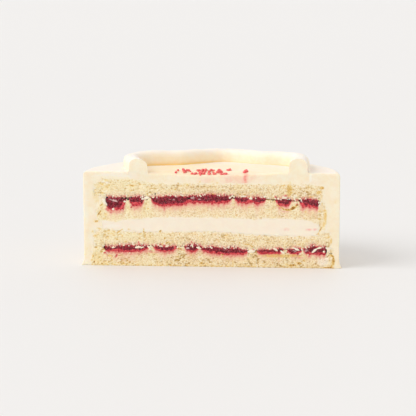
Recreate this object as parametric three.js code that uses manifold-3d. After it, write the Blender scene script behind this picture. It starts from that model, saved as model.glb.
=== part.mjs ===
// Half of a round iced sponge cake, standing on its base with the cut facing -Y.
// Four sponges hold two jam fillings and one of cream. Smooth icing covers the top and the
// round side, a thick piped ring stands on the top, and red fruit crumbs lie inside the ring.
// Millimetres, +Z up. The origin is the middle of the box that holds the cake, at its base.

import * as THREE from "three";
import { mergeVertices } from "three/addons/utils/BufferGeometryUtils.js";
import Module from "manifold-3d";

const wasm = await Module();
wasm.setup();

// ---------------------------------------------------------------- driving dimensions
const HEIGHT = 67; // base to iced top
const RADIUS = 90; // iced side
const FOOT_RADIUS = 92; // where the icing spreads at the base
const FOOT_HEIGHT = 7;
const EDGE_ROUND = 2.2; // top edge of the icing
const GAP = 0.3; // clearance between neighbouring pieces
const CUT_Y = -FOOT_RADIUS / 2; // plane of the knife cut, through the cake's centre
const ROUND_STEPS = 72; // facets of a full circle outside
const HIDDEN_ROUND_STEPS = 48; // and under the icing

// A dip where the knife drew the top edge of the icing down: an ellipsoid's centre above
// the top, the place of its middle along the cut, and its half sizes.
const DIP = { x: -3, above: 1.2, half: [56, 9, 3.1] };

// Boundaries between the layers, as levels [x, z] read along the cut.
const SPONGE_4_TOP = [[-82, 62.5], [-64, 62.4], [-40, 58.4], [0, 58.2], [68, 58.7], [80, 57.2]];
const JAM_UPPER_TOP = [
  [-82, 49.6], [-60, 48.9], [-22, 49.6], [1, 51], [22, 49.6], [45, 48.9], [56, 47.4], [64, 48.4], [80, 47],
];
const CREAM_TOP = [[-80, 32.4], [-55, 33], [-33, 34.4], [55, 34.2], [69, 33], [80, 27.5]];
const CREAM_FLOOR = [[-80, 27.2], [-70, 26.8], [-60, 25], [0, 24.7], [48, 23.3], [68, 23.2], [80, 25.5]];
const JAM_LOWER_TOP = [
  [-82, 14.6], [-46, 15.1], [-26, 13.9], [-13, 16.2], [1, 13.7], [25, 12.4], [48, 13.1], [65, 15], [82, 15],
];

// Jam sags into the sponge below it in pools [from x, to x, depth], with a thin film between.
const JAM_FILM = 1;
const UPPER_POOLS = [
  [-75, -60, 8.4], [-57.5, -47, 5], [-42, -14, 5.6], [-14, 15, 3.8], [16.5, 28, 2.8], [28, 38.5, 2.6], [45, 55.5, 3],
  [62, 77, 3.4],
];
const LOWER_POOLS = [
  [-77, -43, 3.6], [-41, -24, 2], [-18.5, -9, 3.6], [-8.5, 27, 2.8], [32, 51, 2.5], [54, 64.5, 3.6], [64.5, 84, 3.9],
];

// Each layer's disc: middle of its round side along the cut, and its radius.
const DISCS = {
  sponge_1: { x: 0.9, radius: 86 },
  jam_lower: { x: 2.6, radius: 79 },
  sponge_2: { x: 0.9, radius: 84 },
  cream_filling: { x: -0.7, radius: 76 },
  sponge_3: { x: 0.2, radius: 81.3 },
  jam_upper: { x: 0.8, radius: 75.3 },
  sponge_4: { x: -1.8, radius: 80.8 },
};
const CRUST_BULGE = 1.4; // how far a disc's edges fall back from its belly

// Piped ring: middle line [x, depth behind the cut], then width and height at even shares of
// its length, from its left end to its right end.
const RING_PATH = [
  [-49.7, -9], [-51.3, 0], [-56, 12], [-58.8, 24.5], [-52.8, 36], [-38, 43.5], [-25, 47.5], [-14.5, 56.5], [-4, 64.5],
  [5, 67.5], [18, 64.5], [34, 53.5], [49.5, 49.5], [59.8, 41], [62.6, 29], [62.1, 15], [60.7, 0], [60.2, -9],
];
const RING_WIDTHS = [11.4, 11.6, 11.6, 11.6, 13];
const RING_HEIGHTS = [8.6, 10.4, 8.9, 9, 10.2];
const RING_STEPS = 56;
const RING_SIDES = 12;
const RING_FOOT_ANGLE = 25; // degrees below level at which the rope's flat foot starts
const RING_SQUARENESS = 0.8; // 1 is a round arch, less is a squarer one

// Fruit crumbs: scattered groups [x, depth behind the cut, how many, spread].
const CRUMB_GROUPS = [
  [-23.9, 6, 3, 1.8], [-18.6, 8, 7, 1.9], [-15.8, 8, 3, 1.2], [-13.5, 4.6, 2, 0.9], [-11.5, 4.6, 2, 1],
  [-8.6, 7.6, 7, 2], [-5.4, 8.2, 6, 1.8], [-6.8, 4.2, 6, 1.9], [-0.4, 7.8, 6, 1.8], [2.2, 4, 1, 0.5],
  [-1.2, 4.8, 3, 1.1], [5.8, 7.6, 7, 1.9], [9.4, 5, 5, 1.2], [6.6, 3.4, 2, 1], [12.8, 12, 8, 1.9], [24, 6.2, 4, 1.1],
];
const CRUMB_DEEPER = 1.6; // how many times further a group reaches back than sideways
const CRUMB_RADIUS = [0.7, 1.25];
const CRUMB_SEED = 12;

// ---------------------------------------------------------------- solids
function toSolid(geometry) {
  const bare = geometry.clone();
  bare.deleteAttribute("normal");
  bare.deleteAttribute("uv");
  const merged = mergeVertices(bare, 1e-4);
  const faces = [];
  for (let i = 0; i < merged.index.count; i += 3) {
    const [a, b, c] = merged.index.array.subarray(i, i + 3);
    if (a !== b && b !== c && c !== a) faces.push(a, b, c);
  }
  return new wasm.Manifold(new wasm.Mesh({
    numProp: 3,
    vertProperties: Float32Array.from(merged.attributes.position.array),
    triVerts: Uint32Array.from(faces),
  }));
}

function toGeometry(solid) {
  const { vertProperties, triVerts, numProp } = solid.getMesh();
  const points = new Float32Array((vertProperties.length / numProp) * 3);
  for (let i = 0; i < points.length / 3; i++) {
    points.set(vertProperties.subarray(i * numProp, i * numProp + 3), i * 3);
  }
  const geometry = new THREE.BufferGeometry();
  geometry.setAttribute("position", new THREE.BufferAttribute(points, 3));
  geometry.setIndex(new THREE.BufferAttribute(Uint32Array.from(triVerts), 1));
  geometry.computeVertexNormals();
  return geometry;
}

// A body turned about a vertical axis at x on the cut plane, from its profile [radius, z].
function turned(profile, x, steps) {
  const points = profile.map(([radius, z]) => new THREE.Vector2(radius, z));
  const lathe = new THREE.LatheGeometry(points, steps);
  return toSolid(lathe.rotateX(Math.PI / 2).translate(x, CUT_Y, 0));
}

// An upright slab from an outline in x and z, starting at depth `from` behind the cut.
function slab(outline, from) {
  const depth = RADIUS * 1.2;
  const extruded = new THREE.ExtrudeGeometry(new THREE.Shape(outline), { depth, bevelEnabled: false, steps: 1 });
  return toSolid(extruded.rotateX(Math.PI / 2).translate(0, CUT_Y + from + depth, 0));
}

// Everything behind the cut plane.
function behindCut() {
  const size = 4 * RADIUS;
  return toSolid(new THREE.BoxGeometry(size, size, size).translate(0, CUT_Y + size / 2, 0));
}

// ---------------------------------------------------------------- layer boundaries
// Height at x of an eased run through levels [x, z].
function levelAt(levels, x) {
  let height = levels[0][1];
  for (let i = 1; i < levels.length; i++) {
    const rise = levels[i][1] - levels[i - 1][1];
    height += rise * THREE.MathUtils.smoothstep(x, levels[i - 1][0], levels[i][0]);
  }
  return height;
}

function poolDepth(pools, x) {
  let depth = 0;
  for (const [from, to, deepest] of pools) {
    const across = (2 * x - from - to) / (to - from); // -1 to 1 inside the pool
    depth += deepest * Math.sqrt(Math.max(0, 1 - across ** 4));
  }
  return depth;
}

// Boundary points from left to right: close together in the pools, further apart elsewhere.
function boundary(levels, pools = [], drop = 0) {
  const reach = RADIUS + 10;
  const places = new Set();
  for (let x = -reach; x <= reach; x += 10) places.add(x);
  for (const [from, to] of pools) {
    const half = (to - from) / 2;
    for (const share of [-1, -0.95, -0.7, 0, 0.7, 0.95, 1]) places.add(from + half + share * half);
  }
  return [...places]
    .sort((a, b) => a - b)
    .filter((x, i, all) => i === 0 || x - all[i - 1] > 0.15)
    .map((x) => new THREE.Vector2(x, levelAt(levels, x) - drop - poolDepth(pools, x)));
}

const base = [new THREE.Vector2(-RADIUS, 0), new THREE.Vector2(RADIUS, 0)];
const jamLowerFloor = boundary(JAM_LOWER_TOP, LOWER_POOLS, JAM_FILM);
const jamLowerTop = boundary(JAM_LOWER_TOP);
const creamFloor = boundary(CREAM_FLOOR);
const creamTop = boundary(CREAM_TOP);
const jamUpperFloor = boundary(JAM_UPPER_TOP, UPPER_POOLS, JAM_FILM);
const jamUpperTop = boundary(JAM_UPPER_TOP);
const spongeTop = boundary(SPONGE_4_TOP);

const LAYERS = [
  { name: "sponge_1", floor: base, top: jamLowerFloor, low: 0, high: 10 },
  { name: "jam_lower", floor: jamLowerFloor, top: jamLowerTop, low: 10, high: 14.5 },
  { name: "sponge_2", floor: jamLowerTop, top: creamFloor, low: 14.5, high: 25 },
  { name: "cream_filling", floor: creamFloor, top: creamTop, low: 25, high: 33 },
  { name: "sponge_3", floor: creamTop, top: jamUpperFloor, low: 33, high: 44 },
  { name: "jam_upper", floor: jamUpperFloor, top: jamUpperTop, low: 44, high: 49.5 },
  { name: "sponge_4", floor: jamUpperTop, top: spongeTop, low: 49.5, high: 60 },
];

// A layer between two boundaries, trimmed round. `grow` swells it on every side for the
// space that the icing leaves round it, and carries it out through the cut.
function layerSolid({ name, floor, top, low, high }, grow = 0) {
  const inset = GAP / 2 - grow;
  const underside = floor.map((p) => new THREE.Vector2(p.x, p.y + (floor === base ? -grow * 10 : inset)));
  const upside = top.map((p) => new THREE.Vector2(p.x, p.y - inset));
  const outline = [...underside, ...upside.reverse()];

  const { x, radius } = DISCS[name];
  const rim = radius + grow - CRUST_BULGE;
  const profile = [[0, low - 12], [rim, low - 12]];
  for (const up of [-1, -0.4, 0.4, 1]) {
    profile.push([rim + CRUST_BULGE * (1 - up ** 2), (low + high + up * (high - low)) / 2]);
  }
  profile.push([rim, high + 12], [0, high + 12]);
  return slab(outline, grow > 0 ? -10 : 0).intersect(turned(profile, x, HIDDEN_ROUND_STEPS));
}

// ---------------------------------------------------------------- icing and crumbs
function icedBody() {
  const profile = [[0, 0], [FOOT_RADIUS, 0]];
  for (const share of [0.35, 0.7, 1]) {
    const spread = (FOOT_RADIUS - RADIUS) * (1 - share) ** 2;
    profile.push([RADIUS + spread, FOOT_HEIGHT * share]);
  }
  const corner = RADIUS - EDGE_ROUND;
  for (const degrees of [0, 30, 60, 90]) {
    const angle = THREE.MathUtils.degToRad(degrees);
    profile.push([corner + EDGE_ROUND * Math.cos(angle), HEIGHT - EDGE_ROUND * (1 - Math.sin(angle))]);
  }
  profile.push([0, HEIGHT]);
  return turned(profile, 0, ROUND_STEPS);
}

function dipSolid() {
  const ball = new THREE.SphereGeometry(1, 40, 24).scale(...DIP.half);
  return toSolid(ball.translate(DIP.x, CUT_Y, HEIGHT + DIP.above));
}

// Height of the iced top at x and a depth behind the cut.
function topAt(x, depth) {
  const flat = ((x - DIP.x) / DIP.half[0]) ** 2 + (depth / DIP.half[1]) ** 2;
  if (flat >= 1) return HEIGHT;
  return Math.min(HEIGHT, HEIGHT + DIP.above - DIP.half[2] * Math.sqrt(1 - flat));
}

// Repeatable random numbers from 0 to 1.
function randomFrom(seed) {
  let state = seed;
  return () => {
    state = (Math.imul(state, 1664525) + 1013904223) >>> 0;
    return state / 2 ** 32;
  };
}

function crumbs() {
  const random = randomFrom(CRUMB_SEED);
  const pieces = [];
  for (const [x, depth, count, spread] of CRUMB_GROUPS) {
    for (let i = 0; i < count; i++) {
      const angle = random() * 2 * Math.PI;
      const away = spread * Math.sqrt(random());
      const radius = THREE.MathUtils.lerp(CRUMB_RADIUS[0], CRUMB_RADIUS[1], random() ** 1.5);
      const px = x + away * Math.cos(angle);
      const behind = Math.max(radius * 0.5, depth + CRUMB_DEEPER * away * Math.sin(angle));
      const piece = new THREE.IcosahedronGeometry(radius, 0).scale(1.2, 0.9, 0.75);
      piece.rotateX(random() * 3).rotateZ(random() * 6);
      pieces.push(toSolid(piece.translate(px, CUT_Y + behind, topAt(px, behind) + radius * 0.45)));
    }
  }
  return pieces.reduce((all, piece) => all.add(piece));
}

function icingSolid() {
  let hollow = layerSolid(LAYERS[0], GAP);
  for (const layer of LAYERS.slice(1)) hollow = hollow.add(layerSolid(layer, GAP));
  return icedBody().subtract(dipSolid()).add(crumbs()).intersect(behindCut()).subtract(hollow);
}

// ---------------------------------------------------------------- piped ring
// Value at share t from 0 to 1 along evenly spread values.
function along(values, t) {
  const place = t * (values.length - 1);
  const before = Math.min(Math.floor(place), values.length - 2);
  return THREE.MathUtils.lerp(values[before], values[before + 1], place - before);
}

// Sine or cosine of the rope's section, pushed outwards so that the arch is squarer.
function squared(value) {
  return Math.sign(value) * Math.abs(value) ** RING_SQUARENESS;
}

function ringSolid() {
  const curve = new THREE.CatmullRomCurve3(RING_PATH.map(([x, depth]) => new THREE.Vector3(x, CUT_Y + depth, 0)));
  const foot = THREE.MathUtils.degToRad(RING_FOOT_ANGLE);
  const footDepth = squared(Math.sin(foot));
  const points = [];
  for (let i = 0; i <= RING_STEPS; i++) {
    const t = i / RING_STEPS;
    const middle = curve.getPointAt(t);
    const tangent = curve.getTangentAt(t);
    const across = new THREE.Vector3(tangent.y, -tangent.x, 0);
    const halfWidth = along(RING_WIDTHS, t) / 2;
    const halfHeight = along(RING_HEIGHTS, t) / (1 + footDepth);
    for (let k = 0; k < RING_SIDES; k++) {
      const angle = -foot + (k / (RING_SIDES - 1)) * (Math.PI + 2 * foot);
      const point = middle.clone().addScaledVector(across, halfWidth * squared(Math.cos(angle)));
      points.push(point.x, point.y, HEIGHT + GAP + halfHeight * (squared(Math.sin(angle)) + footDepth));
    }
  }
  const faces = [];
  for (let i = 0; i < RING_STEPS; i++) {
    for (let k = 0; k < RING_SIDES; k++) {
      const a = i * RING_SIDES + k;
      const b = i * RING_SIDES + ((k + 1) % RING_SIDES);
      faces.push(a, a + RING_SIDES, b, b, a + RING_SIDES, b + RING_SIDES);
    }
  }
  const last = RING_STEPS * RING_SIDES;
  for (let k = 1; k < RING_SIDES - 1; k++) {
    faces.push(0, k, k + 1, last, last + k + 1, last + k);
  }
  const rope = new THREE.BufferGeometry();
  rope.setAttribute("position", new THREE.Float32BufferAttribute(points, 3));
  rope.setIndex(faces);
  return toSolid(rope).intersect(behindCut());
}

// ---------------------------------------------------------------- the cake
const COLOURS = { sponge: "#f0dcaa", jam: "#8c1f38", cream: "#fcecd7", icing: "#fbecd3", ring: "#fdf4e2" };

function addPiece(group, name, solid, colour, roughness) {
  const material = new THREE.MeshStandardMaterial({ color: colour, roughness, metalness: 0 });
  const mesh = new THREE.Mesh(toGeometry(solid), material);
  mesh.name = name;
  group.add(mesh);
}

const cake = new THREE.Group();
for (const layer of LAYERS) {
  const kind = layer.name.split("_")[0];
  addPiece(cake, layer.name, layerSolid(layer), COLOURS[kind], kind === "jam" ? 0.2 : 0.9);
}
addPiece(cake, "icing", icingSolid(), COLOURS.icing, 0.5);
addPiece(cake, "piped_ring", ringSolid(), COLOURS.ring, 0.45);

export default cake;
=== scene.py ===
# %% Load the fixed frame
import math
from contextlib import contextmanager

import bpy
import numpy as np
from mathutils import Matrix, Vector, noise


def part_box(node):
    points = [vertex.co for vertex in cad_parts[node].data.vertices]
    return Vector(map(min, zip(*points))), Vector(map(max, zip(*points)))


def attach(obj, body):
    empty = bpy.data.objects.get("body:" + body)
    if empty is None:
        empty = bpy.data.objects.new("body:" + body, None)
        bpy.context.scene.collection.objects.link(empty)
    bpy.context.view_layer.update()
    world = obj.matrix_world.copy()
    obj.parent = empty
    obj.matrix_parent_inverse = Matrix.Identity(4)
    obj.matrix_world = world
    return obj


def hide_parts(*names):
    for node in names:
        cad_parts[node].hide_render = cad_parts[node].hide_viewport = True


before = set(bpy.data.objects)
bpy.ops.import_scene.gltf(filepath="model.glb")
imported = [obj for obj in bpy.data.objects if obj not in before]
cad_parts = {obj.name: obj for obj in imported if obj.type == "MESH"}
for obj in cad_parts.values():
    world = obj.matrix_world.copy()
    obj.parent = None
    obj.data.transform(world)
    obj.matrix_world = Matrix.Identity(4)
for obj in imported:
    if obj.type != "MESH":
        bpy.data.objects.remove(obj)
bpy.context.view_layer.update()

# %% [markdown]
# # Half of a round iced sponge cake
#
# The real cake is four thin sponges with jam between two pairs of them and cream in the middle.
# It is iced on the top and round the side, a thick rope of icing is piped on the top, and dried
# fruit crumbs lie inside the rope. A knife has cut it in half, and the cut is what we look at.
#
# The frame that was just loaded holds each layer as a plain solid at its real size. This lesson
# puts a finished piece in the place of every one. All sizes are read from the frame or are
# written in millimetres and turned to metres by MM.

MM = 0.001
cut_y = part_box("sponge_1")[0][1]
foot_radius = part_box("icing")[1][0]
LAYER_GAP = 0.3  # mm between two neighbouring solids of the frame
top_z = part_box("piped_ring")[0][2] - LAYER_GAP * MM
print("cut plane at", round(cut_y / MM, 2), "mm, iced top at", round(top_z / MM, 2), "mm")

# %% [markdown]
# ## Camera
#
# The cake is seen from a little above and a little to its right, from about a metre away with a
# long lens, so the cut stays nearly square. The camera's place and turn are real measures, found
# by matching the corners of the cake.

# %% Camera
CAMERA_PLACE = (65.2, -987.5, 191.6)  # mm
CAMERA_PITCH = 9.01  # degrees down
CAMERA_TURN = 4.08  # degrees to the left of +Y
CAMERA_LENS = 118.1  # mm, on a sensor 36 mm wide

bpy.ops.object.camera_add(
    location=[c * MM for c in CAMERA_PLACE],
    rotation=(math.radians(90 - CAMERA_PITCH), 0, math.radians(CAMERA_TURN)),
)
camera = bpy.context.object
camera.data.lens = CAMERA_LENS
camera.data.sensor_width = 36
camera.data.clip_end = 100
bpy.context.scene.camera = camera
print("camera", camera.location)

# %% [markdown]
# ## Floor and light
#
# A pale seamless floor fills the picture. The light is a white studio: a strong even sky that
# fills every shadow, and one very soft sun from the left, above and a little in front, which
# makes the left side of the rope the brightest place and still reaches the cut.

# %% Floor and light
FLOOR_SIZE = 60  # m
SUN_FROM = (-0.72, -0.30, 0.62)  # direction the light comes from
SUN_SOFTNESS = 45  # degrees across
SUN_STRENGTH = 1.28
SKY_STRENGTH = 0.85

bpy.ops.mesh.primitive_plane_add(size=FLOOR_SIZE, location=(0, 0, 0))
floor = bpy.context.object
floor.name = "floor"

bpy.ops.object.light_add(type="SUN", location=(0, 0, 1))
sun = bpy.context.object
sun.rotation_euler = Vector(SUN_FROM).to_track_quat("Z", "Y").to_euler()
sun.data.angle = math.radians(SUN_SOFTNESS)
sun.data.energy = SUN_STRENGTH

sky = bpy.data.worlds.new("studio")
sky.use_nodes = True
sky.node_tree.nodes["Background"].inputs["Color"].default_value = (1.0, 0.995, 0.99, 1)
sky.node_tree.nodes["Background"].inputs["Strength"].default_value = SKY_STRENGTH
bpy.context.scene.world = sky
bpy.context.scene.view_settings.view_transform = "Standard"
print("sun", SUN_STRENGTH, "sky", SKY_STRENGTH)

# %% [markdown]
# ## Helpers for the materials
#
# Colours are written as the hex values a picture editor shows, and one function turns them to
# the linear numbers that the shaders use. Another adds a node with its settings and links.
# Nearly every finish here is coat upon coat of colour, so a third one lays coats over a surface,
# each through its mask. A mask is a paint that the mesh carries or a noise whose grain is given
# in mm, and its range can be stretched.

# %% Colours and nodes
def colour(hex_code):
    channels = [int(hex_code[i : i + 2], 16) / 255 for i in (1, 3, 5)]
    linear = [c / 12.92 if c <= 0.04045 else ((c + 0.055) / 1.055) ** 2.4 for c in channels]
    return (*linear, 1.0)


def add(tree, kind, values=None, out=0, stops=(), **settings):
    """Adds a node with its settings, links and colour stops, and gives one of its outputs."""
    node = tree.nodes.new("ShaderNode" + kind)
    for name, value in settings.items():
        setattr(node, name, value)
    for socket, value in (values or {}).items():
        if isinstance(value, bpy.types.NodeSocket):
            tree.links.new(value, node.inputs[socket])
        else:
            node.inputs[socket].default_value = value
    for position, hex_code in stops[1:-1]:
        node.color_ramp.elements.new(position).color = colour(hex_code)
    for end in (0, -1) if stops else ():
        position, hex_code = stops[end]
        node.color_ramp.elements[end].position = position
        node.color_ramp.elements[end].color = colour(hex_code)
    return node.outputs[out] if node.outputs else None


def new_material(name, *paints):
    """A bare material, the place on the piece that it covers, and the paints that it reads."""
    material = bpy.data.materials.new(name)
    material.use_nodes = True
    tree = material.node_tree
    tree.nodes.clear()
    place = add(tree, "TexCoord", out="Object")
    return material, tree, place, [add(tree, "Attribute", out="Fac", attribute_name=p) for p in paints]


print("hex to linear, #808080:", [round(c, 3) for c in colour("#808080")])

# %% Grains and coats
def grain(place, size, detail=2.0, roughness=0.5):
    """Settings of a noise with features of a size in mm."""
    return {"Vector": place, "Scale": 1 / (size * MM), "Detail": detail, "Roughness": roughness}


def stretch(value, low, high, to_low=0.0, to_high=1.0):
    """Settings that stretch the part of a mask between low and high over a new range."""
    return {"Value": value, "From Min": low, "From Max": high, "To Min": to_low, "To Max": to_high}


def coats(tree, surface, *layers):
    """Lays coats over a surface, each through a mask or through a mask that is stretched first."""
    for mask, coat in layers:
        mask = add(tree, "MapRange", mask) if isinstance(mask, dict) else mask
        coat = colour(coat) if isinstance(coat, str) else coat
        surface = add(tree, "Mix", {0: mask, 6: surface, 7: coat}, out=2, data_type="RGBA")
    return surface


print("scale of a grain of 1 mm:", grain(None, 1.0)["Scale"])

# %% [markdown]
# ## What the oven browned
#
# Crust and crumb turn golden first and then brown. Flakes of it are found in the icing as well
# as in the sponge, so both finishes use this one function. It reads the paint `toast`: golden
# where the paint is half strong and brown where it is full.

# %% Browning
CRUST_GRAIN = 0.9  # mm
BROWNING = ((0.0, "#fae3a4"), (0.35, "#f6da94"), (0.65, "#e8bc68"), (1.0, "#9c662c"))


def baked(tree, place, toast, surface):
    flakes = add(tree, "TexNoise", grain(place, CRUST_GRAIN, 2.0, 0.6))
    flakes = add(tree, "MapRange", stretch(flakes, 0.35, 0.65, 0.55, 1.2))
    depth = add(tree, "Math", {0: toast, 1: flakes}, operation="MULTIPLY", use_clamp=True)
    brown = add(tree, "ValToRGB", {"Fac": depth}, stops=BROWNING)
    return coats(tree, surface, (stretch(depth, 0.0, 0.7), brown))


print("browning runs from", BROWNING[0][1], "to", BROWNING[-1][1])

# %% [markdown]
# ## Sponge
#
# Sponge is a foam of egg and flour: matt, soft, full of small pores, and it lets a little light
# in. Three noises mix its yellows. The mesh carries seven paints, made further down: `pore_shade`
# for painted shade inside the open bubbles, `golden` for the side where they baked yellow and not
# brown, `toast` for crust and, along the very base, painted contact shade, `soak` for jam that has
# run in, `pale` for loose white crumb, `smear` for icing that the knife dragged over and
# `shaded_slit` for painted shade in the dark slit that is left where two sponges nearly touch.
# Each is one more layer of colour.

# %% Colours of the crumb
CLOUD, DIMPLE, BLOTCH, FINE = 6.0, 1.9, 1.5, 0.9  # mm, the grains of a crumb
STAIN = ((0.0, "#f4d3b3"), (0.3, "#eeb69d"), (0.55, "#e68c82"), (0.8, "#d2484f"), (1.0, "#a0182c"))


def bare_crumb(tree, place, fine, golden, pore_shade):
    dimples = add(tree, "TexNoise", grain(place, DIMPLE, 2.0, 0.6))
    return coats(
        tree,
        colour("#fae6ba"),
        (stretch(add(tree, "TexNoise", grain(place, CLOUD)), 0.35, 0.65), "#fdedcb"),
        (stretch(dimples, 0.46, 0.30, 0.0, 0.8), "#ecca92"),
        (stretch(fine, 0.48, 0.34), "#dfbd82"),
        (stretch(fine, 0.55, 0.66), "#fff4e0"),
        (stretch(golden, 0.0, 1.0, 0.0, 0.35), "#fff4cd"),
        # painted shade inside the open bubbles, deeper ones darker
        (pore_shade, coats(tree, colour("#c9a462"), (golden, "#e2c074"))),
    )


def stained(tree, place, soak, surface):
    """Jam that has run in: pale pink where the paint is weak and deep red where it is full."""
    blotches = add(tree, "TexNoise", grain(place, BLOTCH, 3.0, 0.6))
    uneven = add(tree, "MapRange", stretch(blotches, 0.3, 0.7, -0.22, 0.22))
    shade = add(tree, "Math", {0: soak, 1: uneven}, operation="ADD", use_clamp=True)
    stain = add(tree, "ValToRGB", {"Fac": shade}, stops=STAIN)
    return coats(tree, surface, (stretch(soak, 0.0, 0.25), stain))


print("stains run from", STAIN[0][1], "to", STAIN[-1][1])

# %% Sponge material
def make_sponge():
    material, tree, place, (golden, pore_shade, pale, smear, soak, toast, shaded_slit) = new_material(
        "baked_sponge", "golden", "pore_shade", "pale", "smear", "soak", "toast", "shaded_slit"
    )
    fine = add(tree, "TexNoise", grain(place, FINE, 2.0, 0.6))
    surface = bare_crumb(tree, place, fine, golden, pore_shade)
    surface = coats(tree, surface, (pale, "#fff3e0"), (smear, "#fff0d8"))
    surface = baked(tree, place, toast, stained(tree, place, soak, surface))
    # painted shade in the dark slits
    surface = coats(tree, surface, (shaded_slit, "#3c1a14"))

    bump = add(tree, "Bump", {"Height": fine, "Strength": 0.35, "Distance": 0.2 * MM})
    crumb = {
        "Base Color": surface,
        "Roughness": 0.85,
        "Specular IOR Level": 0.2,
        "Subsurface Weight": 0.3,
        "Subsurface Radius": (1.0, 0.85, 0.65),
        "Subsurface Scale": 0.5 * MM,
        "Normal": bump,
    }
    add(tree, "OutputMaterial", {"Surface": add(tree, "BsdfPrincipled", crumb)})
    return material


sponge_material = make_sponge()
print("made", sponge_material.name)

# %% [markdown]
# ## Jam
#
# Cooked raspberry jam is a dark, wet gel. It is nearly black where it is thick and clear red
# where it thins out, so the paint `thin` mixes the two. Its skin is glossy and lumpy with seeds
# and pulp, and painted glints show on it as pale specks. The paint `shine` marks pale crumb and
# painted highlights on the wet skin, and `shaded_slit` painted shade in the dark slits under the
# sponge.

# %% Jam material
PULP_GRAIN = 1.3  # mm
GLINT_GRAIN = 0.8  # mm
SEED_SPACING = 1.1  # mm
THICK_JAM = ((0.0, "#5f1019"), (0.12, "#761a26"), (0.3, "#932838"))
THIN_JAM = ((0.55, "#b02c3a"), (0.8, "#d23842"), (1.0, "#e65a5f"))


def make_jam():
    material, tree, place, (thin, shine, shaded_slit) = new_material("fruit_jam", "thin", "shine", "shaded_slit")
    pulp = add(tree, "TexNoise", grain(place, PULP_GRAIN, 2.0, 0.6))
    uneven = add(tree, "MapRange", stretch(pulp, 0.3, 0.7, -0.25, 0.5))
    clear = add(tree, "Math", {0: thin, 1: uneven}, operation="ADD", use_clamp=True)
    painted_glints = add(tree, "TexNoise", grain(place, GLINT_GRAIN, 1.0))
    surface = coats(
        tree,
        add(tree, "ValToRGB", {"Fac": clear}, stops=THICK_JAM + THIN_JAM),
        # Painted glints, painted highlights with pale crumb, and painted shade in the slits
        (stretch(painted_glints, 0.58, 0.70, 0.0, 0.5), "#c98a8c"),
        (shine, "#e9c3c0"),
        (shaded_slit, "#2c0d10"),
    )
    seeds = add(tree, "TexVoronoi", {"Vector": place, "Scale": 1 / (SEED_SPACING * MM)})
    bump = add(tree, "Bump", {"Height": seeds, "Strength": 0.6, "Distance": 0.3 * MM})
    gel = {
        "Base Color": surface,
        "Roughness": 0.3,
        "IOR": 1.4,
        "Specular IOR Level": 0.3,
        "Subsurface Weight": 0.15,
        "Subsurface Radius": (1.0, 0.3, 0.3),
        "Subsurface Scale": 0.5 * MM,
        "Normal": bump,
    }
    add(tree, "OutputMaterial", {"Surface": add(tree, "BsdfPrincipled", gel)})
    return material


jam_material = make_jam()
print("made", jam_material.name)

# %% [markdown]
# ## Buttercream
#
# Buttercream is butter beaten with sugar: ivory, with a soft sheen, and light goes about a
# millimetre into it. The icing, the rope and the filling are one recipe, so one function makes all
# three and is given only their tints, the last of them the colour of a painted sheen on top. The
# paints are `upward_sheen`, a painted sheen where the top reflects the sky, `pale` for white streaks
# and a painted pool of light, `blush` where fruit has bled pink, `toast` for flakes of crumb, and
# `crease_shading` for painted shade and yellow bounce light where the rope meets the top.

# %% Buttercream material
DAB, CREAMY, SKIN = 2.2, 4.0, 1.6  # mm, grains of the pink dabs, the body and the skin's waves
DRAWN_OUT = (0.12, 0.12, 1.0)  # the scraper draws the skin's fine waves out level


# top is the colour of the painted sheen that the sky leaves on the top
def make_buttercream(name, body, deep, top):
    material, tree, place, (upward_sheen, pale, blush, toast, crease_shading) = new_material(
        name, "upward_sheen", "pale", "blush", "toast", "crease_shading"
    )
    dabs = add(tree, "TexNoise", grain(place, DAB))
    dabs = add(tree, "MapRange", stretch(dabs, 0.35, 0.65, 0.5, 1.0))
    bled = add(tree, "Math", {0: blush, 1: dabs}, operation="MULTIPLY", use_clamp=True)
    # Coats of painted light and shade: a painted sheen on top, a painted pool of light among the pale
    # streaks, and below, the painted crease shade and bounce light
    surface = coats(
        tree,
        colour(body),
        (stretch(add(tree, "TexNoise", grain(place, CREAMY, 4.0, 0.65)), 0.35, 0.65), deep),
        (upward_sheen, top),
        (pale, "#fff5e6"),
        (bled, "#f68c80"),
    )
    surface = coats(tree, baked(tree, place, toast, surface), (crease_shading, "#fbcf7c"))
    level = add(tree, "Mapping", {"Vector": place, "Scale": DRAWN_OUT})
    drags = add(tree, "TexNoise", grain(level, SKIN))
    bump = add(tree, "Bump", {"Height": drags, "Strength": 0.1, "Distance": 0.3 * MM})
    cream = {
        "Base Color": surface,
        "Roughness": 0.48,
        "IOR": 1.45,
        "Specular IOR Level": 0.3,
        "Subsurface Weight": 0.5,
        "Subsurface Radius": (1.0, 0.8, 0.55),
        "Subsurface Scale": 0.7 * MM,
        "Normal": bump,
    }
    add(tree, "OutputMaterial", {"Surface": add(tree, "BsdfPrincipled", cream)})
    return material


# Each gets its body, its deeper mottling and the colour of its painted sheen on top
icing_material = make_buttercream("icing_buttercream", "#fff0d9", "#fde8ca", "#faecde")
ring_material = make_buttercream("piped_buttercream", "#fff1da", "#fde9cc", "#fcefe2")
cream_material = make_buttercream("filling_buttercream", "#fff0dd", "#feecd9", "#fff1e0")
print("made", icing_material.name, ring_material.name, cream_material.name)

# %% [markdown]
# ## Fruit and floor
#
# The crumbs are freeze-dried raspberry: matt, coral red and a little translucent at their thin
# edges. The floor is a plain pale board.

# %% Fruit and floor materials
FLESH_GRAIN = 1.2  # mm


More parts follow.
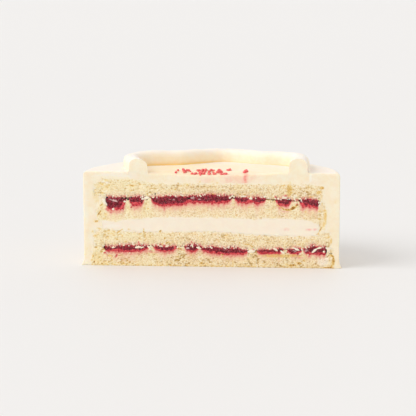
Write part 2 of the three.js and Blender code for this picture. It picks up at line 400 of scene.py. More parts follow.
def make_fruit():
    material, tree, place, _ = new_material("dried_fruit")
    flesh = add(tree, "TexNoise", grain(place, FLESH_GRAIN))
    dried = {
        "Base Color": add(tree, "ValToRGB", {"Fac": flesh}, stops=((0.3, "#de4850"), (0.7, "#ff8a80"))),
        "Roughness": 0.7,
        "Subsurface Weight": 0.15,
        "Subsurface Radius": (1.0, 0.5, 0.5),
        "Subsurface Scale": 0.4 * MM,
    }
    add(tree, "OutputMaterial", {"Surface": add(tree, "BsdfPrincipled", dried)})
    return material


def make_board():
    material, tree, _, _ = new_material("pale_board")
    board = {"Base Color": colour("#e9e7e5"), "Roughness": 0.6}
    add(tree, "OutputMaterial", {"Surface": add(tree, "BsdfPrincipled", board)})
    return material


fruit_material = make_fruit()
floor.data.materials.append(make_board())
print("made", fruit_material.name)

# %% [markdown]
# ## Working on one piece at a time
#
# Operators act on whatever is selected, so these helpers select one object, put it in edit mode
# for a while, and read and write its points as one array.

# %% Piece helpers
def pick(piece):
    bpy.ops.object.select_all(action="DESELECT")
    piece.select_set(True)
    bpy.context.view_layer.objects.active = piece


@contextmanager
def editing(piece):
    pick(piece)
    bpy.ops.object.mode_set(mode="EDIT")
    yield
    bpy.ops.object.mode_set(mode="OBJECT")


def points_of(piece):
    flat = np.empty(len(piece.data.vertices) * 3)
    piece.data.vertices.foreach_get("co", flat)
    return flat.reshape(-1, 3)


def normals_of(piece):
    flat = np.empty(len(piece.data.vertices) * 3)
    piece.data.vertices.foreach_get("normal", flat)
    return flat.reshape(-1, 3)


def set_points(piece, points):
    piece.data.vertices.foreach_set("co", points.reshape(-1))
    piece.data.update()


print("the floor has", len(points_of(floor)), "points")

# %% [markdown]
# ## Roughening and signing off
#
# Food is never smooth. A Displace modifier with a procedural texture lays bumps of a given size
# over a piece, or over the part of it that a vertex group holds. A finished piece gets its
# material and is signed off in the frame: it rides the one body and replaces the plain solid that
# stood for it.

# %% Finishing helpers
LEVELS = 10  # steps between no weight and full weight
SMOOTH_ANGLE = 40  # degrees, edges that bend less than this are shaded round


def apply_modifiers(piece):
    pick(piece)
    for modifier in list(piece.modifiers):
        bpy.ops.object.modifier_apply(modifier=modifier.name)


def weigh(piece, name, weights):
    """Puts the first points of a piece into a vertex group, each with its weight."""
    group = piece.vertex_groups.new(name=name)
    for level in range(1, LEVELS + 1):
        group.add(np.flatnonzero(np.ceil(weights * LEVELS) == level).tolist(), level / LEVELS, "REPLACE")


def roughen(piece, name, kind, size, height, group="", direction="NORMAL", **settings):
    """Displaces by a procedural texture with features of a size in mm, by a height in mm."""
    texture = bpy.data.textures.new(name, kind)
    texture.noise_scale = size * MM
    for key, value in settings.items():
        setattr(texture, key, value)
    displace = piece.modifiers.new(name, "DISPLACE")
    displace.texture = texture
    displace.texture_coords = "LOCAL"
    displace.direction = direction
    displace.strength = height * MM
    displace.mid_level = 0.5
    displace.vertex_group = group


def sign_off(piece, material, slot, *nodes):
    piece.data.materials.clear()
    piece.data.materials.append(material)
    pick(piece)
    bpy.ops.object.shade_smooth()
    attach(piece, "root")
    if nodes:
        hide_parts(*nodes)
    print(piece.name, "triangles:", sum(len(p.vertices) - 2 for p in piece.data.polygons))


print("weights have", LEVELS, "levels")

# %% [markdown]
# ## Paint
#
# A paint is a number between 0 and 1 at every point of a mesh, kept as an attribute that the
# material reads. No two cut cakes are alike, and what tells one from another is where the jam ran
# and what baked brown. Such marks are listed one by one: each is a soft oval with its place, half
# size and turn in the plane of the cut, and a noise frays its rim.

# %% Marks of the oven
MARKS = {}
MARKS["toast"] = [
    # x, z, half width, half height, turn in degrees, strength, with all lengths in mm
    # top sponge
    (-73.0, 60.9, 2.4, 0.7, 0, 0.4), (-72.6, 57.0, 2.8, 1.1, 25, 0.5), (-77.2, 58.3, 2.8, 0.9, -35, 0.4),
    (-67.0, 55.5, 1.3, 0.7, 90, 0.4), (-76.5, 51.8, 1.1, 0.7, 0, 0.8), (-79.2, 56.2, 2.0, 0.9, 45, 0.35),
    (-74.5, 55.0, 4.5, 1.6, 0, 0.18), (-81.0, 48.6, 5.0, 2.0, -67, 0.34), (-55.3, 57.2, 1.8, 0.9, 0, 0.75),
    (-58.0, 57.4, 1.8, 0.4, 0, 0.4), (-56.0, 53.6, 0.9, 0.7, 0, 0.7), (-45.0, 53.4, 1.2, 0.5, 0, 0.5),
    (-35.8, 57.6, 1.0, 0.6, 90, 0.5), (-24.8, 54.9, 1.0, 0.6, 0, 0.7), (-23.0, 59.1, 1.0, 0.6, -20, 0.6),
    (-20.5, 57.2, 1.2, 0.5, 0, 0.6), (-16.5, 58.2, 1.2, 0.6, 0, 0.6), (-7.6, 60.3, 0.9, 0.6, 90, 0.7),
    (0.7, 60.3, 1.0, 0.6, 0, 0.6), (4.6, 59.5, 1.0, 0.5, 0, 0.7), (10.4, 58.7, 1.2, 0.4, 0, 0.5),
    (1.5, 51.7, 1.3, 0.6, 0, 0.9), (20.6, 51.9, 1.0, 0.5, 20, 0.9), (23.6, 51.5, 1.2, 0.5, 0, 0.9),
    (28.0, 53.3, 1.0, 0.4, 0, 0.8), (27.0, 50.5, 1.4, 0.4, 0, 0.8), (41.0, 58.6, 1.6, 0.5, 0, 0.4),
    (51.0, 58.4, 1.8, 0.6, 10, 0.6), (54.8, 55.0, 5.4, 2.2, 88, 0.65), (56.4, 53.4, 1.0, 0.5, 0, 0.8),
    (57.8, 59.2, 0.8, 0.4, 0, 0.6), (67.4, 57.6, 1.8, 0.7, 0, 0.35), (70.0, 50.6, 2.4, 0.5, 5, 0.7),
    (75.0, 53.6, 2.4, 1.3, 20, 0.65), (77.4, 56.9, 1.5, 1.3, 0, 0.75),
    # third sponge, its crust at the two ends and the crack in it
    (-77.2, 43.3, 1.6, 0.6, 40, 0.8), (-78.7, 37.6, 2.6, 0.6, 55, 0.9), (-81.3, 31.6, 1.6, 1.2, 0, 0.75),
    (-75.3, 33.5, 1.3, 0.8, 0, 0.4), (-74.2, 36.2, 1.4, 0.9, 60, 0.45), (-46.6, 42.0, 1.0, 0.6, 0, 0.7),
    (-44.2, 40.9, 0.9, 0.6, 0, 0.8), (-27.8, 41.1, 1.0, 0.6, 0, 0.5), (26.9, 42.7, 1.1, 0.5, 0, 0.7),
    (40.5, 41.4, 2.6, 0.4, 0, 0.45), (44.0, 35.9, 2.6, 0.4, 0, 0.5), (49.6, 42.6, 2.1, 0.5, -28, 0.9),
    (46.4, 44.4, 1.8, 0.5, -35, 0.8), (53.4, 41.2, 3.2, 0.8, -3, 1.0), (57.6, 42.6, 2.5, 1.2, 30, 1.0),
    (60.4, 44.8, 1.6, 0.8, 45, 0.9), (66.3, 39.9, 0.8, 0.7, 0, 0.7), (76.0, 40.3, 1.2, 0.7, 0, 0.6),
    (79.5, 41.0, 0.9, 0.8, 0, 0.7), (76.0, 35.0, 1.1, 0.8, 0, 0.7), (80.0, 36.2, 5.0, 1.2, 88, 0.6),
    (79.4, 31.6, 1.9, 1.4, 60, 0.5), (76.6, 27.4, 2.8, 0.6, 65, 0.9), (75.0, 24.4, 1.6, 0.5, 10, 0.7),
    (87.0, 47.2, 1.4, 0.5, 60, 0.35),
    # second sponge
    (-78.5, 26.3, 2.4, 0.7, -10, 0.5), (-83.6, 24.3, 1.2, 1.0, 0, 0.5), (-81.5, 21.3, 1.8, 0.9, 10, 0.6),
    (-64.6, 24.6, 3.0, 0.6, 35, 0.7), (-70.0, 22.8, 2.4, 0.5, 5, 0.5), (-58.0, 26.1, 1.7, 0.6, 0, 0.5),
    (-68.5, 21.8, 1.8, 0.5, 0, 0.5), (-62.7, 21.5, 1.1, 0.8, 0, 0.5), (-47.4, 25.3, 1.8, 0.8, 90, 0.6),
    (-78.8, 14.0, 2.4, 0.6, -8, 0.6), (-77.4, 16.7, 1.6, 0.5, 30, 0.4), (-66.3, 18.8, 1.2, 0.5, 0, 0.7),
    (-60.2, 17.1, 1.2, 0.6, 0, 0.7), (-32.3, 20.2, 0.9, 0.7, 0, 0.8), (-35.6, 24.9, 1.3, 1.0, 30, 0.8),
    (-30.6, 16.9, 1.6, 0.7, 30, 0.8), (-28.8, 15.9, 1.0, 0.5, -40, 1.0), (-34.2, 15.9, 0.7, 0.6, 0, 0.8),
    (11.0, 22.6, 1.2, 0.5, 10, 0.6), (20.2, 17.4, 0.9, 0.5, 90, 0.7), (5.4, 18.0, 0.8, 0.6, 0, 0.5),
    (25.5, 16.4, 2.6, 0.5, -5, 0.75), (28.6, 15.2, 1.2, 0.5, -30, 0.8), (34.0, 22.4, 1.3, 0.6, 40, 0.5),
    (61.8, 22.3, 1.2, 0.6, 0, 0.6), (71.0, 20.3, 1.1, 0.5, 0, 0.6), (82.4, 22.2, 1.8, 0.7, 5, 0.6),
    (84.2, 19.4, 2.4, 1.0, 85, 0.55), (62.0, 16.8, 1.6, 0.5, 0, 0.6),
    # bottom sponge, its toasted right corner and its browned base
    (-80.5, 6.0, 4.2, 5.2, 0, 0.26), (-87.8, 11.5, 1.1, 0.5, 80, 0.4), (-89.3, 7.6, 1.5, 0.5, 35, 0.4),
    (-83.6, 6.4, 1.5, 0.9, 90, 0.7), (-84.4, 3.7, 1.1, 0.9, 0, 0.6), (-82.9, 2.3, 1.0, 0.8, 90, 1.0),
    (-77.2, 1.4, 1.0, 0.5, 0, 1.0), (-75.0, 1.2, 1.0, 0.4, 0, 0.7), (-71.5, 6.9, 1.3, 1.1, 0, 0.6),
    (-70.3, 4.6, 1.9, 0.6, 85, 0.6), (-41.0, 8.9, 3.6, 1.1, 0, 0.3), (-23.5, 6.9, 1.4, 0.7, 0, 0.55),
    (-13.8, 8.3, 1.2, 0.7, 0, 0.4), (-6.4, 2.6, 1.3, 0.8, 30, 1.0), (-17.0, 1.1, 1.4, 0.5, 0, 0.6),
    (2.0, 0.6, 1.8, 0.5, 0, 0.6), (12.0, 0.5, 2.0, 0.4, 0, 0.6), (7.6, 6.6, 1.5, 0.8, 0, 0.4),
    (8.1, 8.7, 0.9, 0.5, 0, 0.9), (15.6, 3.0, 3.0, 0.9, 90, 0.4), (28.0, 6.4, 2.4, 0.9, 0, 0.35),
    (37.0, 2.8, 1.0, 0.7, 0, 0.5), (50.0, 8.5, 17.0, 1.3, 1, 0.6), (57.4, 1.9, 3.2, 0.8, 0, 1.0),
    (62.2, 3.3, 2.0, 1.0, -20, 0.9), (65.6, 5.1, 1.3, 0.5, -20, 0.7), (53.4, 2.4, 1.2, 0.9, 0, 0.5),
    (85.0, 8.8, 2.2, 1.1, -35, 0.8), (86.0, 5.2, 3.4, 1.1, 92, 0.85), (84.8, 1.6, 1.4, 0.7, 70, 0.85),
    (82.0, 0.6, 4.2, 0.5, 0, 1.0),
    # the thin brown line where two sponges touch, and the one in the lower jam
    (41.0, 48.2, 5.4, 0.4, 0, 1.0), (-22.2, 12.7, 2.4, 0.5, -14, 0.9), (16.9, 50.4, 1.4, 0.4, 85, 0.9),
]
print("browned spots:", len(MARKS["toast"]))

# %% Marks of the jam
MARKS["soak"] = [
    (-64.6, 38.6, 2.0, 1.6, 0, 0.4), (-62.0, 42.0, 3.2, 1.5, 80, 0.8), (-73.0, 39.9, 2.0, 1.3, -20, 0.5),
    (-70.5, 37.8, 1.0, 0.8, 0, 0.5), (-66.9, 6.9, 2.0, 1.0, 55, 0.62), (-75.0, 9.1, 1.4, 0.8, 0, 0.75),
    (-56.5, 8.2, 2.8, 0.9, 0, 0.35), (-51.0, 17.0, 1.0, 0.6, 90, 0.5), (-39.0, 9.8, 6.0, 0.7, 0, 0.35),
    (-33.2, 43.7, 1.6, 0.6, 85, 0.9), (-31.0, 43.7, 1.5, 0.5, 90, 0.85), (-24.0, 43.8, 4.0, 1.0, 0, 0.4),
    (-15.0, 15.2, 1.6, 1.2, 60, 0.9), (-11.0, 15.8, 2.2, 0.9, -65, 0.85), (-13.6, 17.9, 1.2, 0.5, -60, 0.5),
    (-29.5, 9.6, 1.2, 0.9, 0, 0.6), (11.5, 8.4, 3.0, 1.3, 0, 0.35), (4.0, 8.8, 4.0, 0.8, 0, 0.4),
    (46.8, 8.8, 2.2, 0.6, 0, 0.5), (63.0, 7.4, 2.8, 0.9, 0, 0.3), (70.0, 9.3, 3.0, 0.5, 0, 0.35),
    (72.0, 15.6, 2.0, 0.9, 0, 0.7), (79.0, 15.4, 1.4, 0.9, 0, 0.5), (52.0, 39.9, 3.6, 0.8, 0, 0.25),
    (64.0, 41.6, 2.0, 1.4, 0, 0.4), (72.0, 42.2, 3.2, 0.8, 0, 0.45), (52.0, 51.2, 2.2, 1.0, 10, 0.5),
    (-12.5, 50.6, 3.0, 0.7, 0, 0.4), (4.0, 50.8, 9.0, 0.6, 0, 0.3), (46.0, 14.7, 2.2, 0.6, 0, 0.3),
    (58.6, 15.3, 2.0, 0.6, 0, 0.35), (20.0, 42.8, 16.0, 1.0, 0, 0.15), (-43.5, 10.4, 3.2, 1.2, 0, 0.38),
    (-21.6, 12.2, 3.2, 0.7, -8, 0.4), (-62.0, 6.5, 16.0, 5.0, 0, 0.13),
]
MARKS["thin"] = [
    (-61.8, 42.6, 3.6, 1.8, 80, 1.0), (-52.5, 44.6, 4.6, 1.4, 0, 0.8), (-15.6, 46.6, 2.0, 1.0, 20, 0.75),
    (27.0, 47.2, 2.2, 1.2, 0, 0.9), (64.0, 45.2, 2.2, 1.4, 0, 0.9), (-25.4, 13.2, 1.2, 1.2, 0, 1.0),
    (-9.0, 11.2, 2.0, 0.9, 0, 0.9), (16.0, 13.2, 2.2, 0.6, 0, 0.6), (-68.0, 11.2, 3.0, 0.8, 10, 0.8),
    (36.5, 10.9, 3.5, 0.8, 0, 0.55), (45.0, 10.9, 3.0, 0.6, 5, 0.5),
]
# Painted highlights on the wet jam, with pale crumb lying on it
MARKS["shine"] = [
    (-67.5, 46.3, 2.3, 0.8, -10, 0.9), (-70.8, 47.1, 1.4, 0.5, -20, 0.6), (-12.8, 48.9, 1.7, 0.7, 0, 0.6),
    (-24.0, 49.8, 1.1, 0.7, 0, 0.8), (-8.0, 48.0, 1.3, 0.4, 0, 0.6), (-26.0, 47.6, 0.8, 0.6, 0, 0.5),
    (63.4, 47.0, 1.2, 0.5, -20, 0.8), (66.8, 12.4, 1.2, 0.9, 0, 0.6), (-16.6, 13.0, 1.6, 0.9, 20, 0.9),
    (8.6, 13.9, 1.8, 0.5, 0, 0.7), (32.4, 12.6, 1.3, 1.0, 0, 0.85), (21.6, 13.8, 2.4, 0.5, -5, 0.7),
    (24.6, 12.7, 1.6, 0.5, -10, 0.5), (58.8, 12.2, 1.6, 0.5, -20, 0.6),
]
print("stains:", len(MARKS["soak"]), "clear spots:", len(MARKS["thin"]), "glints:", len(MARKS["shine"]))

# %% Marks of the knife and the scraper
# Painted shade in the dark slits between sponges, also where the jam shows in them; the sponge's slits are
# pressed in too
MARKS["shaded_slit"] = [
    (-61.2, 48.2, 3.0, 0.8, -6, 1.0), (-58.3, 47.3, 1.2, 0.6, 0, 1.0), (-56.4, 48.8, 1.0, 0.5, 0, 0.9),
    (-73.3, 48.6, 1.4, 0.5, -25, 1.0), (-39.0, 51.4, 1.1, 0.5, 90, 0.7), (-45.0, 47.4, 1.0, 0.4, 0, 0.7),
    (-49.7, 49.4, 1.0, 0.5, 0, 0.6), (-15.3, 48.6, 1.2, 0.6, 0, 1.0), (15.6, 49.2, 2.0, 0.6, 0, 0.9),
    (39.9, 48.6, 0.7, 0.5, 0, 0.6), (43.6, 48.0, 1.4, 0.5, 0, 0.8), (54.6, 48.4, 1.7, 0.6, 0, 1.0),
    (57.6, 47.6, 1.1, 0.5, 0, 1.0), (60.0, 48.0, 0.9, 0.4, 0, 0.7), (62.4, 47.8, 1.3, 0.5, 0, 1.0),
    (-76.4, 13.0, 1.2, 0.5, 0, 1.0), (47.8, 13.2, 0.9, 0.7, 60, 0.9), (50.1, 12.7, 1.0, 0.4, 90, 0.6),
    (81.1, 12.7, 1.0, 0.6, 90, 0.9), (84.0, 10.5, 1.2, 0.4, 0, 0.7),
]
MARKS["pale"] = [
    (-76.0, 59.8, 1.0, 0.8, 0, 1.0), (-73.2, 59.2, 1.1, 0.8, 0, 1.0), (-75.2, 45.6, 2.8, 1.1, -60, 1.0),
    (-61.0, 49.4, 1.9, 0.6, -15, 1.0), (-36.5, 52.0, 1.3, 1.0, 90, 0.9), (58.6, 50.4, 2.4, 0.9, 90, 0.7),
    (54.6, 43.2, 2.2, 0.8, 15, 0.9), (78.8, 5.0, 4.2, 4.6, 0, 0.85), (-32.8, 16.2, 0.8, 0.7, 0, 1.0),
    (63.5, 58.4, 4.0, 0.8, -10, 0.6), (-48.0, 26.0, 5.0, 0.8, 0, 0.5), (-8.0, 7.0, 1.2, 0.6, 0, 0.8),
    # streaks in the icing; the first is a painted pool of light on the upper left of the cut, where the
    # light from the left falls
    (-68.0, 63.6, 16.0, 2.6, 0, 0.6), (69.4, 64.2, 0.8, 3.8, 0, 0.9), (-70.0, 28.2, 6.0, 1.4, 4, 0.6),
    (-88.0, 40.0, 1.6, 14.0, 0, 0.35),
]
MARKS["smear"] = [
    (-80.6, 44.5, 3.2, 6.0, -25, 1.0), (-80.5, 60.6, 4.6, 2.6, 20, 0.9), (-81.8, 27.5, 3.4, 5.0, 0, 0.9),
    (80.5, 58.6, 3.4, 2.4, -20, 0.8), (80.6, 49.0, 2.6, 4.0, 0, 0.8),
]
print("slits:", len(MARKS["shaded_slit"]), "pale spots:", len(MARKS["pale"]), "smears:", len(MARKS["smear"]))

# %% Marks of the fruit
MARKS["blush"] = [
    (68.4, 27.6, 2.2, 1.0, 0, 0.65), (73.0, 27.6, 2.0, 1.0, 0, 0.65), (52.4, 27.4, 2.8, 1.4, 0, 0.4),
    (18.6, 62.4, 13.5, 7.0, 0, 0.3), (24.2, 63.6, 7.5, 2.3, 83, 1.1), (15.0, 66.3, 12.0, 3.0, 0, 0.4),
    (24.4, 58.6, 2.4, 1.9, 0, 0.8), (29.5, 64.6, 4.0, 3.0, 0, 0.3), (12.5, 62.6, 4.2, 4.0, 0, 0.45),
    (-3.0, 61.8, 6.5, 3.2, 0, 0.3),
]
print("pink spots:", len(MARKS["blush"]))

# %% Paint helpers
WAVE_GAIN = 1.6  # brings the noise to about -1 to 1
RIM = 2.2  # how steeply a mark fades at its rim
SOFT_RIMS = {"blush": 1.0, "soak": 1.5}
FRAY = 0.3  # share of its size by which a mark's rim is frayed
FRAY_SIZE = 1.4  # mm
FARTHEST = 1.6  # half sizes from its middle, beyond which a mark is never seen


def waves(x, z, size, seed=0.0):
    """Smooth noise between about -1 and 1 with features of a size in mm."""
    scale = 1 / (size * MM)
    return np.array([noise.noise(Vector((a, b, seed))) for a, b in zip(x * scale, z * scale)]) * WAVE_GAIN


def marks_at(paint_name, x, z):
    total = np.zeros(len(x))
    rim = SOFT_RIMS.get(paint_name, RIM)
    for mark_x, mark_z, wide, high, turn, strength in MARKS[paint_name]:
        dx, dz = x / MM - mark_x, z / MM - mark_z
        near = np.flatnonzero(np.hypot(dx, dz) < FARTHEST * max(wide, high))
        if not len(near):
            continue
        cos, sin = math.cos(math.radians(turn)), math.sin(math.radians(turn))
        along = (dx[near] * cos + dz[near] * sin) / wide
        across = (dz[near] * cos - dx[near] * sin) / high
        frayed = np.hypot(along, across) + FRAY * waves(x[near], z[near], FRAY_SIZE, mark_x)
        total[near] = np.maximum(total[near], strength * np.clip(rim * (1.1 - frayed), 0, 1))
    return total


def paint(piece, name, values):
    """Paints the first points of a piece, and leaves the rest at 0."""
    full = np.zeros(len(piece.data.vertices), dtype=np.float32)
    full[: len(values)] = np.clip(values, 0, 1)
    piece.data.attributes.new(name, "FLOAT", "POINT").data.foreach_set("value", full)


print("marks placed by hand:", {name: len(marks) for name, marks in MARKS.items()})

# %% [markdown]
# ## Reading a layer's outline
#
# Where a layer meets the next one is part of the frame, so it isn't typed again here. The flat
# front of a layer's solid is a patch of triangles in the plane of the cut. An edge that only one
# of them uses is on the outline. A line at a given x crosses the outline at the layer's floor and
# top, and a line at a given z crosses it at the left and right end.

# %% Edges in the plane of the cut
ON_FACE = 0.01  # mm from a flat face, within which a point is taken to lie on it
LEAST_SPAN = 1e-7  # m, shorter edges are crossed nowhere


def cut_edges(node):
    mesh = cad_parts[node].data
    places = [tuple(round(c, 7) for c in v.co) for v in mesh.vertices]
    uses = {}
    for face in mesh.polygons:
        corners = [places[i] for i in face.vertices]
        if max(c[1] for c in corners) < cut_y + ON_FACE * MM:
            for a, b in zip(corners, corners[1:] + corners[:1]):
                key = (min(a, b), max(a, b))
                uses[key] = uses.get(key, 0) + 1
    return [edge for edge, count in uses.items() if count == 1]


def crossings(edges, stations, along):
    """Lowest and highest crossing of lines at stations on one axis: 0 is x and 2 is z."""
    other = 2 - along
    lowest = np.full(len(stations), np.inf)
    highest = np.full(len(stations), -np.inf)
    for edge in edges:
        a, b = sorted(edge, key=lambda corner: corner[along])
        span = b[along] - a[along]
        if span < LEAST_SPAN:
            continue
        inside = (stations >= a[along]) & (stations <= b[along])
        value = a[other] + (b[other] - a[other]) * (stations[inside] - a[along]) / span
        lowest[inside] = np.minimum(lowest[inside], value)
        highest[inside] = np.maximum(highest[inside], value)
    return lowest, highest


print("edges round the upper jam:", len(cut_edges("jam_upper")))

# %% [markdown]
# ## Swells between the corners
#
# The frame's solids are made of straight facets. A few small swells, a millimetre or so, bring
# back the bulges and dips between its corners. Each belongs to the top of one layer, and the
# layer above rests on the same line.

# %% Swells
STACK = ("sponge_1", "jam_lower", "sponge_2", "cream_filling", "sponge_3", "jam_upper", "sponge_4")
SWELLS = {
    # layer whose top swells: (x, half width, height), in mm
    "sponge_1": [
        (-75, 2.5, -1.2), (-58, 4, -0.6), (-34, 5, -0.8), (-10, 7, -1.0), (10, 5, -0.6), (66, 2, -0.8),
        (81, 2, -1.2),
    ],
    "jam_lower": [
        (-70, 5, -1.0), (-5, 2, -1.0), (4, 5, 0.8), (17, 4, 1.8), (48, 1.5, 0.8), (56, 1.5, -1.0),
        (64, 2.5, -1.4), (72, 2.5, 1.2), (80, 1.5, 0.7),
    ],
    "sponge_2": [(0, 30, 1.0)],
    "cream_filling": [(-69, 7, -2.0), (-55, 6, -0.8), (30, 4, -1.0), (79, 5, -1.5)],
    "sponge_3": [
        (-23, 6, 0.8), (-13, 2, -2.0), (1, 9, -0.7), (27, 4, -0.8), (53, 3, 0.4), (65, 2, -1.0),
        (74, 2, -1.2),
    ],
    "jam_upper": [(-52, 3, 0.9), (-25, 9, 0.8), (1, 9, 0.7), (33, 4, 0.8), (52, 4, 1.2), (69, 7, 1.6)],
}
ROUNDING = 0.8  # mm over which the corners of a line are rounded
TAILS = 2.5  # roundings to each side that the average takes in


def swell(node, x):
    rows = SWELLS.get(node, [])
    return sum(height * MM * np.exp(-(((x / MM - at) / half) ** 2)) for at, half, height in rows)


def rounded(x, line):
    """Takes the sharp corners off a line by averaging it over about a millimetre."""
    step = x[1] - x[0]
    reach = int(TAILS * ROUNDING * MM / step)
    offsets = np.arange(-reach, reach + 1) * step / (ROUNDING * MM)
    weights = np.exp(-0.5 * offsets**2)
    return np.convolve(np.pad(line, reach, mode="edge"), weights / weights.sum(), mode="valid")


print("swells:", {node: len(rows) for node, rows in SWELLS.items()})

# %% Outlines of the layers
END_TRIM = 2.4  # mm left off at each end, where the baked edge bulges
END_INSET = 0.4  # mm left off at the bottom and top of each end
STATIONS = 900  # places along a layer's length where its floor and top are read
END_STATIONS = 60  # heights where its ends are read
THINNEST = 0.1  # mm


def read_outline(node):
    edges = cut_edges(node)
    low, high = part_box(node)
    x = np.linspace(low.x + END_TRIM * MM, high.x - END_TRIM * MM, STATIONS)
    floor_z, roof_z = crossings(edges, x, 0)
    ends = []
    for side, at in ((0, 0), (1, -1)):
        z = np.linspace(floor_z[at] + END_INSET * MM, roof_z[at] - END_INSET * MM, END_STATIONS)
        ends.append((z, crossings(edges, z, 2)[side]))
    below = STACK[STACK.index(node) - 1] if node != STACK[0] else None
    floor_z = rounded(x, floor_z + swell(below, x))
    roof_z = np.maximum(rounded(x, roof_z + swell(node, x)), floor_z + THINNEST * MM)
    return {"x": x, "floor": floor_z, "top": roof_z, "left": ends[0], "right": ends[1]}


outlines = {node: read_outline(node) for node in STACK}
thickness = outlines["jam_upper"]["top"] - outlines["jam_upper"]["floor"]
print("upper jam, thickest:", round(float(thickness.max()) / MM, 1), "mm")

# %% [markdown]
# ## Where the jam is only a film
#
# The knife closed the sponge over the thin stretches of jam between its pools. There both sponges
# reach over the film and leave only a dark crevice of uneven width.

# %% Film reader
FILM = 1.1  # mm, jam thickness that counts as a film
FILM_FADE = 0.8  # mm more, over which a film becomes a pool


def jam_thickness(jam, x):
    line = outlines[jam]
    beyond = np.maximum(line["x"][0] - x, x - line["x"][-1]) / (END_TRIM * MM)
    return np.interp(x, line["x"], line["top"] - line["floor"]) * np.clip(1 - beyond, 0, 1)


def film_at(jam, x):
    """1 where the jam is a film, 0 where it is a pool."""
    return np.clip(1 - (jam_thickness(jam, x) / MM - FILM) / FILM_FADE, 0, 1)


for jam in ("jam_lower", "jam_upper"):
    print(jam, "share of film:", round(float(film_at(jam, outlines[jam]["x"]).mean()), 2))

# %% [markdown]
# ## The cut layers
#
# Neighbours share their boundary. Its small raggedness is a noise read at the boundary's own
# place, so that both neighbours get the same wave and no gap opens between them. Where a layer
# meets icing or cream, one of the two is drawn a little way over the other, because the knife
# smears them together. Above and below a pool of jam the sponge hangs over it in a short fringe.

# %% Waves along a boundary
ROUGH = 0.4  # mm of raggedness along a boundary
CREVICE = 0.28  # mm, widest crevice that is left over a film
CLOSED = 0.62  # mm that a sponge reaches over a film where there is no crevice


def ragged(x, z, rough=ROUGH):
    """The same small waves on both sides of a boundary, in metres."""
    return (waves(x, z / 4, 3.0) * rough + waves(x, z / 4, 1.1) * rough * 0.6) * MM


def reach_over_film(x, jam):
    """How far a sponge closes over a film of jam."""
    crevice = CREVICE * np.clip(0.5 + waves(x, x * 0, 1.8, 9.0), 0, 1)
    return film_at(jam, x) * (CLOSED - crevice) * MM


def past_end(node, x):
    """1 beyond the two ends of a layer and 0 between them."""
    low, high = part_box(node)
    return np.clip(np.maximum(low.x - x, x - high.x) / MM + 0.5, 0, 1)


def fringe(x, jam, reach, seed):
    """How far crumb hangs over a pool of jam, thread by thread."""
    threads = 0.35 + 0.5 * waves(x, x * 0, 1.1, seed) + 0.35 * waves(x, x * 0, 3.1, seed)
    return (1 - film_at(jam, x)) * np.clip(threads, 0, 1) * reach * MM


x = outlines["jam_upper"]["x"]
print("raggedness, mm:", round(float(np.abs(ragged(x, outlines["jam_upper"]["top"])).max()) / MM, 2))

# %% Rim of a layer
SIDES = ("left", "right", "up", "down")
OVERLAP = 0.14  # mm that neighbours reach over their shared boundary
SPREAD_OVER = 0.85  # mm that a layer is drawn over cream, or over icing at its ends
SPREAD_UP = 1.7  # mm that the top sponge is drawn up over the icing
CLOSE_END = 0.9  # mm that a sponge grows where the layer next to it has ended
FRINGE_BELOW = 0.95  # mm that the sponge above a pool hangs over it
FRINGE_ABOVE = 0.8  # mm that the sponge below a pool stands in front of it
END_ROUGH = 0.6  # mm of raggedness at a layer's two ends
END_LEAST = 0.8  # share of its reach that an end keeps however ragged it is


def drawn_rim(node, reach, under, over):
    """A layer's floor, top and two ends once it is drawn over its neighbours."""
    line = outlines[node]
    x = line["x"]
    order = STACK.index(node)
    floor_z = line["floor"] + ragged(x, line["floor"]) - reach["down"] * MM
    roof_z = line["top"] + ragged(x, line["top"]) + reach["up"] * MM
    if over:
        floor_z = floor_z - reach_over_film(x, over) - fringe(x, over, FRINGE_BELOW, 11.0)
    if under:
        roof_z = roof_z + reach_over_film(x, under) + fringe(x, under, FRINGE_ABOVE, 12.0)
    if node == STACK[0]:
        floor_z[:] = 0
    else:
        floor_z = floor_z - CLOSE_END * MM * past_end(STACK[order - 1], x)
    if node != STACK[-1]:
        roof_z = roof_z + CLOSE_END * MM * past_end(STACK[order + 1], x)
    ends = []
    for sign, side in ((-1, "left"), (1, "right")):
        z, end_x = line[side]
        grown = np.maximum(reach[side] * MM + ragged(z, end_x, END_ROUGH), END_LEAST * reach[side] * MM)
        ends.append((z, end_x + sign * grown))
    return floor_z, np.maximum(roof_z, floor_z + THINNEST * MM), ends


print("layers reach", OVERLAP, "mm over each other and", SPREAD_OVER, "mm over icing and cream")

# %% [markdown]
# ## The mesh of a layer
#
# Every layer is a half disc whose straight side is the cut. Only the cut shows, so that is where
# the mesh is fine: a grid stands in the plane of the cut, its points are moved to lie between the
# layer's floor and top, and its rim is then extruded back, step by step, while it is squeezed in
# x so that the plan becomes a half circle. A last merge closes the back.

# %% Face of a layer
EDGE_SOFT = 0.6  # mm over which a layer's face rolls back at its edge
EDGE_SINK = 0.12  # mm


def upright_grid(name, columns, rows):
    """A grid 1 m wide and high, standing on edge."""
    bpy.ops.object.select_all(action="DESELECT")
    bpy.ops.mesh.primitive_grid_add(
        x_subdivisions=columns, y_subdivisions=rows, size=1, rotation=(math.pi / 2, 0, 0)
    )
    grid = bpy.context.object
    grid.name = name
    bpy.ops.object.transform_apply(location=False, rotation=True, scale=False)
    return grid


